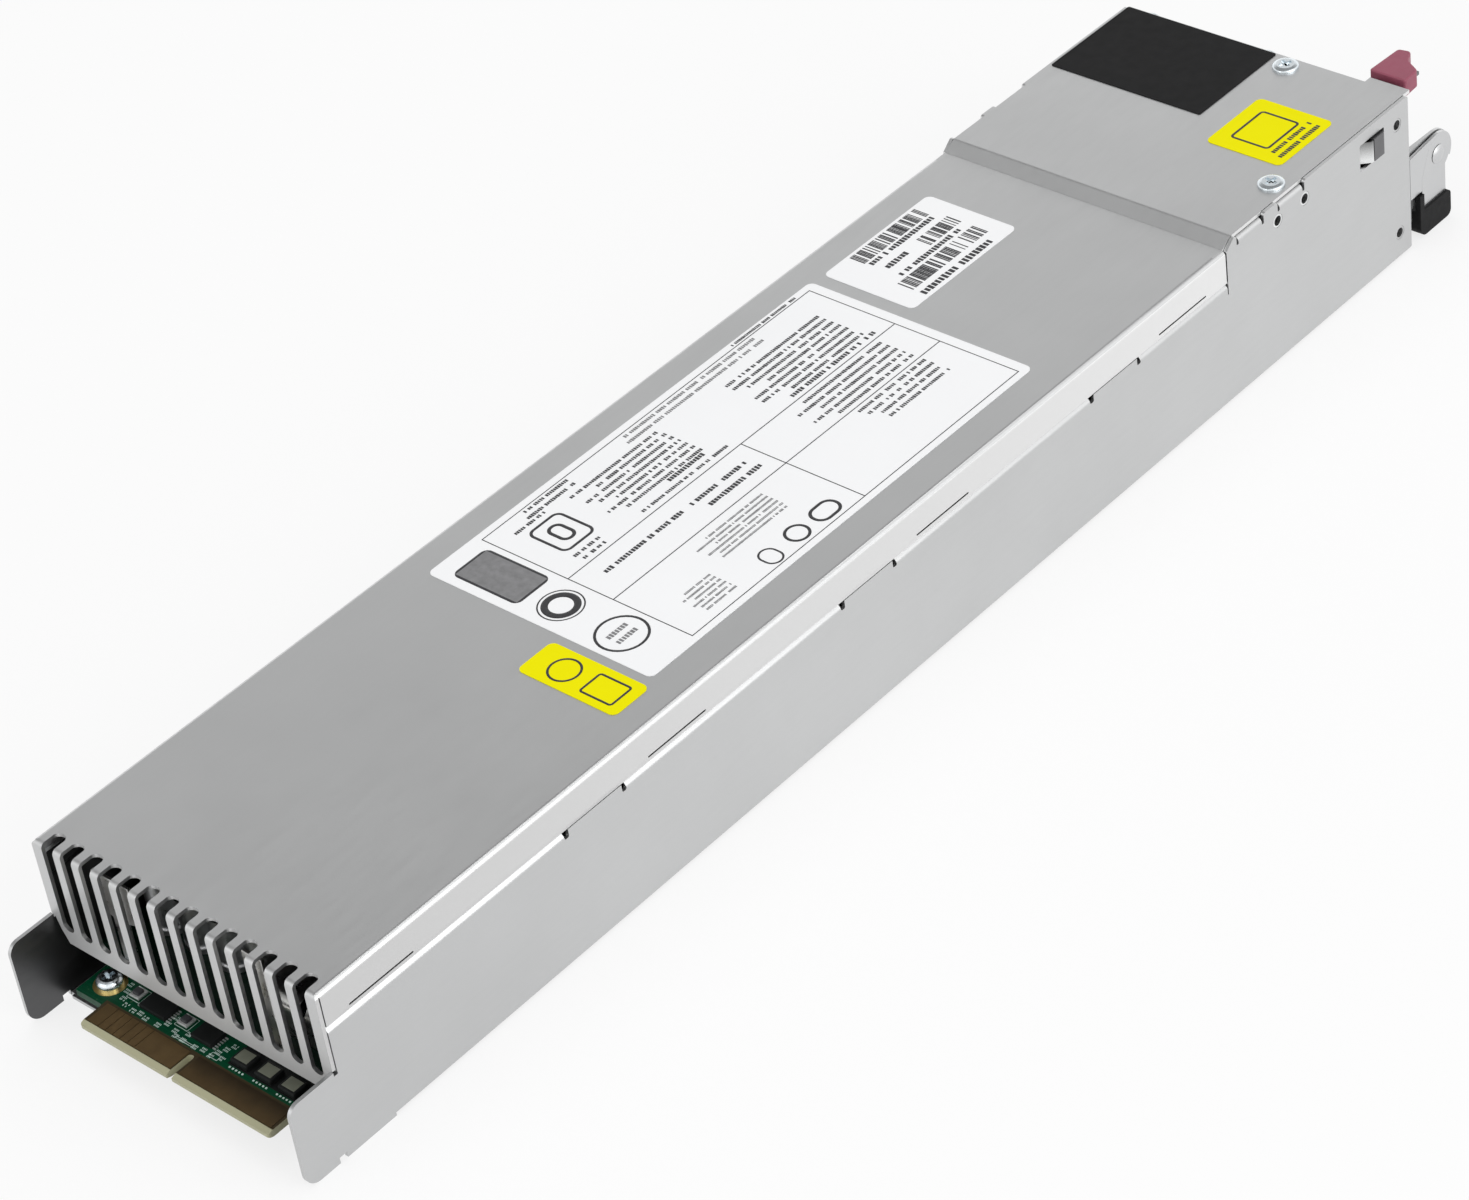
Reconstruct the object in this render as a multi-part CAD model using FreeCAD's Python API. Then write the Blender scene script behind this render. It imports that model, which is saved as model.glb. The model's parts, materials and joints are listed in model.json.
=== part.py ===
import FreeCAD, Part
import math
import os

# A hot swap server power supply: a folded steel case with a card edge at the front (-Y), and a fan,
# a mains inlet, a latch and a pull handle at the rear (+Y). All sizes are millimetres. The origin is
# on the bottom plane, at mid width and mid length, and +Z is up.

# Case
CASE_W = 76.0            # over the side walls
CASE_L = 336.0           # from the vented lip to the rear panel
MAIN_H = 38.2            # long main top
REAR_H = 40.0            # raised top over the fan and the inlet
REAR_L = 67.0            # length of the raised top
RAMP_L = 3.2             # length of the step up to it
SHEET = 0.8              # sheet thickness
BEND = 0.4               # inside radius of a bend
FIT = 0.1                # gap between faces that lie against each other
SEAM = 0.3               # open seam between two sheet edges

# Side seam: lips and tabs of the tray, flanges and slits of the cover
SEAM_Z = 30.2            # lower edge of the cover's side flanges
COVER_INSET = 0.1        # cover flange inside the wall's outer face
JOG_H = 1.1              # height over which a wall steps inwards
LIP_H = 4.6              # lip that stands behind the flange
TAB_COUNT = 3
TAB_PITCH = 79.5
TAB_L = 15.9
TAB_FIRST = 71.1         # first tab's middle, from the vented lip
NOTCH_W = 1.2            # relief beside a tab
NOTCH_H = 1.7
SLIT_COUNT = 4
SLIT_FIRST = 15.0        # first slit's middle, from the vented lip
SLIT_L = 16.4
SLIT_H = 0.4
SLIT_Z = 31.3

# Front end of the case
EAR_L = 11.4             # side walls that guard the card edge
EAR_H = 20.0
EAR_TOP_R = 2.5
EAR_LOW_R = 3.5
FLOOR_REACH = 1.8        # floor in front of the vented lip
RELIEF_W = 1.9
RELIEF_H = 1.3
VENT_COUNT = 14
VENT_PITCH = 5.15
VENT_W = 2.6
VENT_TOP_L = 4.0         # slot length on the top face
VENT_LOW_Z = 17.2        # slot ends on the lip
LIP_LOW_Z = 13.7         # lower edge of the lip
LIP_LOW_W = 69.0         # width of that edge
LIP_CORNER_Z = 20.3      # where its corners begin to narrow
LIP_CORNER_R = 1.5

# Raised rear of the case
BAR_L = 8.3              # tabs bent in under the top plate
BAR_GAP = 0.7
BAR_REACH = 8.0
BAR_FIRST = 43.5         # tab middles, from the rear face
BAR_SECOND = 58.2
CREST_DROP = 2.4         # depth of the reliefs beside the tabs
TONGUE_L = 2.0           # top plate behind the rear face, over the latch
TONGUE_W = 10.2

# Formed joints: a collar of the inner sheet, spread in a hole of the wall
JOINT_R = 1.15
COLLAR_T = 0.4
JOINT_INSET = 4.35       # joints of the rear panel, from the rear face
JOINT_LOW_Z = 6.8
JOINT_TOP_Z = 34.7

# Rear panel
FLANGE_L = 7.8
LEDGE_L = 10.0           # ledge that takes the rear cover screw
LEDGE_W = 8.8
LATCH_GAP_W = 16.0       # opening over the latch

# Cover screws
COVER_SCREW_R = 1.5
COVER_HEAD_R = 3.0
COVER_HEAD_H = 1.3
REAR_SCREW_X = 8.4
REAR_SCREW_INSET = 3.6
SIDE_SCREW_X = 33.0

# Fan
FAN_SIZE = 38.0
FAN_T = 28.0
FAN_X = -15.9
FAN_PITCH = 32.0
FAN_CORNER_R = 3.0
FAN_FLANGE_T = 3.6
FAN_BORE_R = 17.9
BLADE_GAP = 0.5
BLADE_COUNT = 7
BLADE_T = 0.9
BLADE_CHORD = 13.0
BLADE_ROOT_PITCH = 52.0  # blade angle from the plane of the fan, at the hub
BLADE_TIP_PITCH = 34.0
BLADE_CAMBER = 1.1
HUB_R = 10.0
HUB_L = 20.0
HUB_WALL = 1.2
HUB_SETBACK = 2.0
MOTOR_DISC_T = 3.0
STRUT_W = 2.4
SHAFT_R = 1.0
SHAFT_GAP = 0.04         # running fit in the bearing
BEARING_R = 2.0
STATOR_GAP = 0.5
STATOR_L = 12.0
GUARD_WIRE_R = 0.7
GUARD_WELD = 0.3         # depth of a weld between crossing wires
GUARD_RINGS = 4
GUARD_INNER_R = 4.6
GUARD_OUTER_R = 16.6
FAN_SCREW_R = 1.5
FAN_HEAD_R = 2.7
FAN_HEAD_H = 1.2
FAN_SCREW_L = 9.0

# Mains inlet (IEC 60320 C14)
INLET_X = 19.6
INLET_Z = 20.0
INLET_W = 27.0
INLET_H = 19.8
INLET_L = 22.0
INLET_RIM_W = 30.4
INLET_RIM_H = 23.2
INLET_RIM_T = 2.4
RECESS_W = 24.6
RECESS_H = 16.8
RECESS_L = 17.0
RECESS_BEVEL = 4.6
PIN_W = 2.0
PIN_H = 4.0
PIN_SPREAD = 14.0
PIN_SHIFT = 2.0
PIN_SETBACK = 1.5
PIN_TAIL = 7.0

# Status lamp
LAMP_X = 8.4
LAMP_Z = 34.8
LAMP_R = 1.5
LAMP_L = 9.0
LAMP_PROUD = 0.7

# Pull handle
PIVOT_OUT = 12.0         # handle pivot behind the rear face
PIVOT_Z = 18.0
BRACKET_EYE_R = 5.5
BRACKET_T = 0.8
BRACKET_DEPTH = 11.0     # bracket inside the case
BRACKET_LOW_Z = 3.6
BRACKET_TOP_Z = 24.0
BAIL_T = 0.8
BAIL_EYE_R = 4.6
BAIL_W = 9.0
BAIL_GAP = 0.3
RIVET_R = 1.6
RIVET_HEAD_R = 2.3
RIVET_HEAD_H = 0.7
RIVET_GAP = 0.05         # running fit of the handle on its rivets
GRIP_OUT = 3.9           # inner face of the grip behind the rear face
GRIP_T = 11.8
GRIP_H = 6.6
GRIP_Z = 0.5
GRIP_HORN_H = 4.2
GRIP_HORN_T = 1.6

# Latch
LATCH_T = 0.8
LATCH_LOW_Z = 30.6
LATCH_TOP_Z = 36.8
LATCH_X = 34.8           # outer face of the spring arm
LATCH_PIVOT = 31.8       # flex line, from the rear face
LATCH_FOOT_FRONT = 51.6
LATCH_FOOT_BACK = 35.8
LATCH_JOINTS = (38.7, 48.5)
LATCH_JOINT_Z = 35.3
WINDOW_FRONT = 18.3      # window of the catch, from the rear face
WINDOW_BACK = 9.2
WINDOW_LOW_Z = 30.5
WINDOW_TOP_Z = 37.0
CATCH_OUT = 0.7          # catch proud of the wall
CATCH_L = 3.9
RAMP_FRONT = 17.2
ARM_TAIL = 3.0           # arm ends inside the rear panel
FINGER_T = 0.8
FINGER_W = 7.0
FINGER_Z = 38.0
TAB_OUT = 3.6            # latch tab behind the rear face
TAB_DEPTH = 10.8
TAB_INNER_X = 25.6
TAB_OUTER_X = 35.0
TAB_LOW_Z = 36.7
TAB_TOP_Z = 40.8

# Main board and its card edge
BOARD_T = 1.6
BOARD_TOP_Z = 7.8
BOARD_W = 72.0
BOARD_NECK_W = 60.0      # width between the ears
BOARD_NECK_L = 12.0
BOARD_FRONT = 4.4        # board edge in front of the vented lip
BOARD_BACK = 36.0        # board end, from the rear face
CARD_FRONT = 10.2
CARD_LEFT = -22.6
CARD_RIGHT = 28.3
CARD_KEY_X = 1.9
CARD_KEY_W = 1.4
CARD_KEY_L = 6.2
CARD_BEVEL = 0.4
CONTACT_L = 5.2
CONTACT_SETBACK = 0.7
CONTACT_T = 0.1
CONTACT_PITCH = 2.05
CONTACT_W = 1.75
POWER_PADS = 3
FILM_T = 0.3
STANDOFF_R = 2.8
BOARD_SCREW_R = 1.4
BOARD_HEAD_R = 2.7
BOARD_HEAD_H = 2.0

# Small parts near the card edge
CHIP_H = 1.5
CHIP_LONG = 7.0
CHIP_SHORT = 4.0
CHIP_SPOTS = (-12.4, 1.0)
COIL_SIZE = 2.6
COIL_H = 1.6
COIL_SPOTS = (-18.6, -5.4)
OUTPUT_FET_W = 5.0
OUTPUT_FET_H = 1.7
OUTPUT_FET_SPOTS = (11.7, 18.0, 24.3)

# Power parts on the board; places are from the vented lip
PART_GAP = 0.1           # part above the board
OUT_CAP_R = 4.0
OUT_CAP_H = 12.5
OUT_CAP_COLUMNS = 4
OUT_CAP_ROWS = 2
OUT_CAP_PITCH = 9.2
OUT_CAP_X = -28.0
OUT_CAP_Y = 19.0
BUS_T = 1.5
BUS_W = 12.0
BUS_L = 42.0
BUS_X = 18.0
BUS_Y = 10.0
SYNC_SINK_W = 30.0
SYNC_SINK_L = 20.0
SYNC_SINK_H = 24.0
SYNC_SINK_X = -14.0
SYNC_SINK_Y = 42.0
FIN_T = 1.2
FIN_COUNT = 6
CORE_W = 33.0
CORE_L = 34.0
CORE_H = 27.0
CORE_LEG = 8.0
CORE_X = -14.0
CORE_Y = 70.0
COIL_GAP = 0.3
RESONANT_SIZE = 22.0
RESONANT_H = 22.0
RESONANT_X = 18.0
RESONANT_Y = 74.0
PRIMARY_SINK_L = 62.0
PRIMARY_SINK_W = 16.0
PRIMARY_SINK_H = 26.0
PRIMARY_SINK_X = -20.0
PRIMARY_SINK_Y = 112.0
DEVICE_W = 10.2
DEVICE_T = 4.6
DEVICE_H = 15.5
DEVICE_COUNT = 4
CONTROL_T = 1.2
CONTROL_L = 58.0
CONTROL_H = 24.0
CONTROL_X = 30.0
CONTROL_Y = 112.0
STANDBY_W = 18.0
STANDBY_L = 16.0
STANDBY_H = 16.0
STANDBY_X = 14.0
STANDBY_Y = 130.0
BULK_R = 12.5
BULK_L = 48.0
BULK_X = 13.2
BULK_Y = 182.0
RING_CORE_OUT = 12.0
RING_CORE_IN = 7.0
RING_CORE_H = 9.0
WIRE_BUILD = 2.4
BOOST_X = -18.0
BOOST_Y = 248.0
BRIDGE_W = 30.0
BRIDGE_T = 5.0
BRIDGE_H = 20.0
BRIDGE_X = 16.0
BRIDGE_Y = 238.0
LINE_CHOKE_X = 16.0
LINE_CHOKE_Y = 258.0
LINE_CAP_W = 26.0
LINE_CAP_T = 10.0
LINE_CAP_H = 20.0
LINE_CAP_X = 18.0
LINE_CAP_Y = 279.0
RELAY_W = 15.0
RELAY_L = 20.0
RELAY_H = 15.5
RELAY_X = -18.0
RELAY_Y = 276.0
FUSE_R = 2.6
FUSE_L = 20.0
FUSE_X = 18.0
FUSE_Y = 290.0
HEADER_W = 10.0
HEADER_L = 6.0
HEADER_H = 7.0
HEADER_X = -18.0
HEADER_Y = 292.0

# Stickers and film
STICKER_T = 0.12
STICKER_R = 1.5
FAN_FILM_T = 0.2
FAN_FILM_FRONT = 29.0
FAN_FILM_BACK = 0.4
FAN_FILM_RIGHT = 3.7
RATING_FRONT = 98.2
RATING_L = 116.8
RATING_LEFT = -30.2
RATING_RIGHT = 29.2
SERIAL_FRONT = 218.5
SERIAL_L = 35.2
SERIAL_LEFT = -29.6
SERIAL_RIGHT = -5.2
STRIP_FRONT = 85.9
STRIP_L = 10.1
STRIP_LEFT = 5.6
STRIP_RIGHT = 30.9
SQUARE_INSET = 17.0
SQUARE_L = 20.0
SQUARE_LEFT = 11.0
SQUARE_RIGHT = 30.6

# Planes that the sizes above give
HALF_W = CASE_W / 2
INNER_X = HALF_W - SHEET
FRONT = -CASE_L / 2
REAR = CASE_L / 2
STEP = REAR - REAR_L
PLATE_UNDER = REAR_H - SHEET
FLANGE_X = HALF_W - COVER_INSET
LIP_X = FLANGE_X - SHEET - FIT
SHELF_Z = SEAM_Z - FIT
WALL_Z = SHELF_Z - JOG_H - NOTCH_H
CREST_Z = REAR_H - FIT
BAR_Z = PLATE_UNDER - FIT
PANEL_X = INNER_X - FIT
BRACKET_X = PANEL_X - SHEET - FIT
BAIL_X = BRACKET_X + BAIL_GAP
FAN_Z = (SHEET + PLATE_UNDER) / 2
FAN_BACK = REAR - SHEET - FIT
PIVOT_Y = REAR + PIVOT_OUT
BOARD_LOW_Z = BOARD_TOP_Z - BOARD_T
DECK_Z = BOARD_TOP_Z + PART_GAP

V = FreeCAD.Vector
ALONG = {"x": V(1, 0, 0), "y": V(0, 1, 0), "z": V(0, 0, 1)}


def place(axis, u, v, level):
    """The point with coordinates u and v across an axis, at a level along it."""
    if axis == "x":
        return V(level, u, v)
    if axis == "y":
        return V(u, level, v)
    return V(u, v, level)


def outline(corners, axis, level):
    """A closed wire through (u, v) or (u, v, radius) corners, with an arc at each radius."""
    count = len(corners)
    ends = []
    arcs = []
    for i, corner in enumerate(corners):
        here = V(corner[0], corner[1], 0)
        radius = corner[2] if len(corner) > 2 else 0
        if radius == 0:
            ends.append((here, here))
            arcs.append(None)
            continue
        back = V(corners[i - 1][0], corners[i - 1][1], 0) - here
        on = V(corners[(i + 1) % count][0], corners[(i + 1) % count][1], 0) - here
        back.normalize()
        on.normalize()
        half = back.getAngle(on) / 2
        middle = back + on
        middle.normalize()
        run = radius / math.tan(half)
        ends.append((here + back * run, here + on * run))
        arcs.append(here + middle * (radius / math.sin(half) - radius))

    def lift(point):
        return place(axis, point.x, point.y, level)

    edges = []
    for i in range(count):
        start, end = ends[i]
        if arcs[i] is not None:
            edges.append(Part.Arc(lift(start), lift(arcs[i]), lift(end)).toShape())
        onward = ends[(i + 1) % count][0]
        if (onward - end).Length > 1e-6:
            edges.append(Part.makeLine(lift(end), lift(onward)))
    return Part.Wire(edges)


def prism(corners, axis, low, high):
    """A solid with the given rounded outline, from low to high along an axis."""
    face = Part.Face(outline(corners, axis, low))
    return face.extrude(ALONG[axis] * (high - low))


def box(x0, x1, y0, y1, z0, z1):
    return Part.makeBox(x1 - x0, y1 - y0, z1 - z0, V(x0, y0, z0))


def rod(axis, u, v, low, high, radius):
    """A round bar along an axis through (u, v)."""
    return Part.makeCylinder(radius, high - low, place(axis, u, v, low), ALONG[axis])


def rounded(u0, u1, v0, v1, radius):
    """Corners of a rectangle with equal corner radii."""
    return [(u0, v0, radius), (u1, v0, radius), (u1, v1, radius), (u0, v1, radius)]


def folded(path, thickness=SHEET, bend=BEND):
    """Corners of a folded sheet's section: its outer line is path, and the sheet lies to the left."""
    steps = []
    for (u0, v0), (u1, v1) in zip(path, path[1:]):
        run = math.hypot(u1 - u0, v1 - v0)
        steps.append(((u1 - u0) / run, (v1 - v0) / run))
    near = []
    far = []
    for i, (u, v) in enumerate(path):
        before = steps[max(i - 1, 0)]
        after = steps[min(i, len(steps) - 1)]
        turn = before[0] * after[1] - before[1] * after[0]
        scale = thickness / (1 + before[0] * after[0] + before[1] * after[1])
        du = -(before[1] + after[1]) * scale
        dv = (before[0] + after[0]) * scale
        inside = bend if turn > 0 else bend + thickness
        outside = bend + thickness if turn > 0 else bend
        if abs(turn) < 1e-9:
            inside = outside = 0
        near.append((u, v, outside))
        far.append((u + du, v + dv, inside))
    return near + far[::-1]


def fuse(shapes):
    joined = shapes[0].multiFuse(shapes[1:])
    return joined.removeSplitter()


def mirrored(shape):
    """The same shape on the other side of the middle plane."""
    return shape.mirror(V(0, 0, 0), V(1, 0, 0))


def both_sides(shapes):
    return shapes + [mirrored(shape) for shape in shapes]


def save(node, shapes):
    """Write one sub-part: a solid, or several separate ones."""
    solid = shapes[0] if len(shapes) == 1 else Part.makeCompound(shapes)
    solid.exportStep("parts/" + node + ".step")


def tab_spans():
    """Start and end of each straight wall tab along the side seam."""
    spans = []
    for i in range(TAB_COUNT):
        middle = FRONT + TAB_FIRST + i * TAB_PITCH
        spans.append((middle - TAB_L / 2, middle + TAB_L / 2))
    return spans


def seam_walls():
    """Upper part of the right wall along the main top: stepped-in lips with straight tabs between."""
    start = FRONT + SHEET + FIT
    edges = [start]
    walls = []
    for low, high in tab_spans():
        walls.append(box(INNER_X, HALF_W, low, high, WALL_Z, SHELF_Z))
        edges += [low, high]
    edges.append(STEP)
    lip = folded([(HALF_W, WALL_Z), (HALF_W, SHELF_Z - JOG_H), (LIP_X, SHELF_Z), (LIP_X, SHELF_Z + LIP_H)])
    for low, high in zip(edges[0::2], edges[1::2]):
        walls.append(prism(lip, "y", low, high))
    return walls


def rear_walls():
    """Tall rear part of the right wall, with two tabs bent in under the top plate."""
    shoulder = CREST_Z - CREST_DROP
    walls = [box(INNER_X, HALF_W, STEP + SEAM, REAR, WALL_Z, shoulder)]
    edges = [STEP + SEAM]
    bent = folded([(HALF_W, shoulder), (HALF_W, BAR_Z), (HALF_W - BAR_REACH, BAR_Z)])
    for inset in (BAR_SECOND, BAR_FIRST):
        low = REAR - inset - BAR_L / 2
        high = low + BAR_L
        walls.append(prism(bent, "y", low, high))
        edges += [low - BAR_GAP, high + BAR_GAP]
    edges.append(REAR)
    slope = STEP + RAMP_L
    for low, high in zip(edges[0::2], edges[1::2]):
        top = [(low, shoulder), (high, shoulder), (high, CREST_Z, BAR_GAP)]
        if low < slope:
            top += [(slope - SEAM, CREST_Z, BEND), (low, shoulder + SEAM, BEND)]
        else:
            top += [(low, CREST_Z, BAR_GAP)]
        walls.append(prism(top, "x", INNER_X, HALF_W))
    return walls


def ear():
    """Right front corner of the case, which guards the card edge."""
    behind = FRONT - FIT
    side = [
        (FRONT - EAR_L, 0, EAR_LOW_R),
        (behind + EAR_L, 0),
        (behind + EAR_L, EAR_H - SHEET),
        (behind, EAR_H - SHEET),
        (behind, EAR_H),
        (FRONT - EAR_L, EAR_H, EAR_TOP_R),
    ]
    return prism(side, "x", INNER_X, HALF_W)


def standoff_spots():
    """Places of the board's screws."""
    front_y = FRONT + 0.4
    spots = [(-25.5, front_y)]
    for x in (-32.5, 32.5):
        for y in (FRONT + 62.0, FRONT + 177.0, REAR - BOARD_BACK - 3.5):
            spots.append((x, y))
    return spots


def chassis_tray():
    section = folded([(-HALF_W, WALL_Z), (-HALF_W, 0), (HALF_W, 0), (HALF_W, WALL_Z)])
    tray = prism(section, "y", FRONT - FLOOR_REACH, REAR)
    reach = FRONT + SHEET + FIT
    for x0, x1 in ((-HALF_W - 1, -INNER_X + 1), (INNER_X - 1, HALF_W + 1)):
        tray = tray.cut(box(x0, x1, FRONT - EAR_L, reach, RELIEF_H, WALL_Z + 1))
        tray = tray.cut(box(x0, x1, FRONT - EAR_L, FRONT - FLOOR_REACH + RELIEF_H / 2, -1, WALL_Z))
    tray = fuse([tray] + both_sides([ear()] + seam_walls() + rear_walls()))
    cuts = []
    for low, high in tab_spans():
        for y in (low, high):
            notch = rounded(y - NOTCH_W / 2, y + NOTCH_W / 2, SHELF_Z - NOTCH_H, SHELF_Z + NOTCH_H, BEND)
            cuts.append(prism(notch, "x", LIP_X - SHEET, HALF_W + 1))
    relief_y = FRONT - FLOOR_REACH - BEND
    cuts.append(box(INNER_X - SHEET, HALF_W + 1, relief_y - RELIEF_W / 2, relief_y + RELIEF_W / 2, -1, RELIEF_H))
    for z in (JOINT_LOW_Z, JOINT_TOP_Z):
        cuts.append(rod("x", REAR - JOINT_INSET, z, INNER_X - SHEET, HALF_W + 1, JOINT_R + COLLAR_T + FIT / 2))
    cuts = both_sides(cuts)
    for inset in LATCH_JOINTS:
        hole_r = JOINT_R + COLLAR_T + FIT / 2
        cuts.append(rod("x", REAR - inset, LATCH_JOINT_Z, INNER_X - SHEET, HALF_W + 1, hole_r))
    window = rounded(REAR - WINDOW_FRONT, REAR - WINDOW_BACK, WINDOW_LOW_Z, WINDOW_TOP_Z, BEND)
    cuts.append(prism(window, "x", INNER_X - SHEET, HALF_W + 1))
    bar_y = REAR - BAR_FIRST
    cuts.append(rod("z", SIDE_SCREW_X, bar_y, BAR_Z - SHEET - 1, BAR_Z + 1, COVER_SCREW_R + FIT / 2))
    for x, y in standoff_spots():
        cuts.append(rod("z", x, y, -1, SHEET + 1, BOARD_SCREW_R + FIT))
    return tray.cut(Part.makeCompound(cuts))


def vent_slots():
    """One cutter for the slots that run from the top round the bend and down the lip."""
    end_r = VENT_W / 2
    cutters = []
    for i in range(VENT_COUNT):
        x = (i - (VENT_COUNT - 1) / 2) * VENT_PITCH
        left = x - end_r
        right = x + end_r
        back = FRONT + VENT_TOP_L
        top = [(left, FRONT - 1), (right, FRONT - 1), (right, back, end_r), (left, back, end_r)]
        cutters.append(prism(top, "z", MAIN_H - SHEET - BEND, MAIN_H + 1))
        face = [(left, VENT_LOW_Z, end_r), (right, VENT_LOW_Z, end_r), (right, MAIN_H + 1), (left, MAIN_H + 1)]
        cutters.append(prism(face, "y", FRONT - 1, FRONT + SHEET + BEND))
    return Part.makeCompound(cutters)


def hood(half_w, front, top, bend, low):
    """A closed block with the cover's outer or inner bends."""
    block = box(-half_w, half_w, front, STEP, low, top)
    bends = []
    for edge in block.Edges:
        middle = edge.CenterOfMass
        on_top = abs(middle.z - top) < 1e-6
        if on_top and middle.y < STEP - 1e-6:
            bends.append(edge)
    return block.makeFillet(bend, bends)


def top_cover():
    shell = hood(FLANGE_X, FRONT, MAIN_H, BEND + SHEET, LIP_LOW_Z)
    inside = hood(FLANGE_X - SHEET, FRONT + SHEET, MAIN_H - SHEET, BEND, LIP_LOW_Z - 1)
    shell = shell.cut(inside)
    cuts = [vent_slots()]
    low_half = LIP_LOW_W / 2
    corner = [
        (low_half, LIP_LOW_Z - 1),
        (low_half, LIP_LOW_Z),
        (low_half + LIP_CORNER_R, LIP_LOW_Z + 2 * LIP_CORNER_R, LIP_CORNER_R),
        (INNER_X - BEND, LIP_CORNER_Z - SHEET, LIP_CORNER_R / 2),
        (HALF_W + 1, LIP_CORNER_Z + BEND),
        (HALF_W + 1, LIP_LOW_Z - 1),
    ]
    side_cuts = [
        prism(corner, "y", FRONT - 1, FRONT + SHEET),
        box(FLANGE_X - SHEET - FIT, HALF_W + 1, FRONT + SHEET, STEP + 1, LIP_LOW_Z - 1, SEAM_Z),
        box(FLANGE_X - SHEET - FIT, HALF_W + 1, FRONT + SHEET, FRONT + SHEET + SEAM, LIP_LOW_Z - 1, MAIN_H - SHEET),
    ]
    for i in range(SLIT_COUNT):
        middle = FRONT + SLIT_FIRST + i * TAB_PITCH
        slit = rounded(middle - SLIT_L / 2, middle + SLIT_L / 2, SLIT_Z - SLIT_H / 2, SLIT_Z + SLIT_H / 2, SLIT_H / 2)
        side_cuts.append(prism(slit, "x", FLANGE_X - SHEET - FIT, HALF_W + 1))
    shell = shell.cut(Part.makeCompound(cuts + both_sides(side_cuts)))
    climb = [(REAR, REAR_H), (STEP + RAMP_L, REAR_H), (STEP, MAIN_H), (STEP - RAMP_L, MAIN_H)]
    raised = prism(folded(climb), "x", -PANEL_X, PANEL_X)
    tongue = box(PANEL_X - TONGUE_W, PANEL_X, REAR - SHEET, REAR + TONGUE_L, PLATE_UNDER, REAR_H)
    cover = fuse([shell, raised, tongue])
    holes = []
    for x, y in cover_screw_spots():
        holes.append(rod("z", x, y, PLATE_UNDER - 1, REAR_H + 1, COVER_SCREW_R + FIT))
    return cover.cut(Part.makeCompound(holes))


def cover_screw_spots():
    return [(REAR_SCREW_X, REAR - REAR_SCREW_INSET), (SIDE_SCREW_X, REAR - BAR_FIRST)]


def pan_screw(x, y, seat_z, radius, length, head_r, head_h):
    """A pan-head screw that points down, with a cross recess in its domed head."""
    shank = rod("z", x, y, seat_z - length, seat_z, radius)
    crown = head_h * 0.35
    rise = head_h - crown
    ball_r = (head_r ** 2 + crown ** 2) / (2 * crown)
    ball = Part.makeSphere(ball_r, V(x, y, seat_z + head_h - ball_r))
    head = rod("z", x, y, seat_z, seat_z + head_h, head_r).common(ball)
    arm = head_r * 0.55
    web = head_r * 0.12
    cross = [
        box(x - arm, x + arm, y - web, y + web, seat_z + rise * 0.4, seat_z + head_h + 1),
        box(x - web, x + web, y - arm, y + arm, seat_z + rise * 0.4, seat_z + head_h + 1),
    ]
    return shank.fuse(head).cut(Part.makeCompound(cross))


def cover_screws():
    screws = []
    for x, y in cover_screw_spots():
        screws.append(pan_screw(x, y, REAR_H + FIT / 2, COVER_SCREW_R, 2 * SHEET + 2, COVER_HEAD_R, COVER_HEAD_H))
    return screws


def collar(y, z):
    """A collar of an inner sheet that passes through the right wall."""
    return rod("x", y, z, PANEL_X, HALF_W - FIT / 2, JOINT_R + COLLAR_T)


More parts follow.
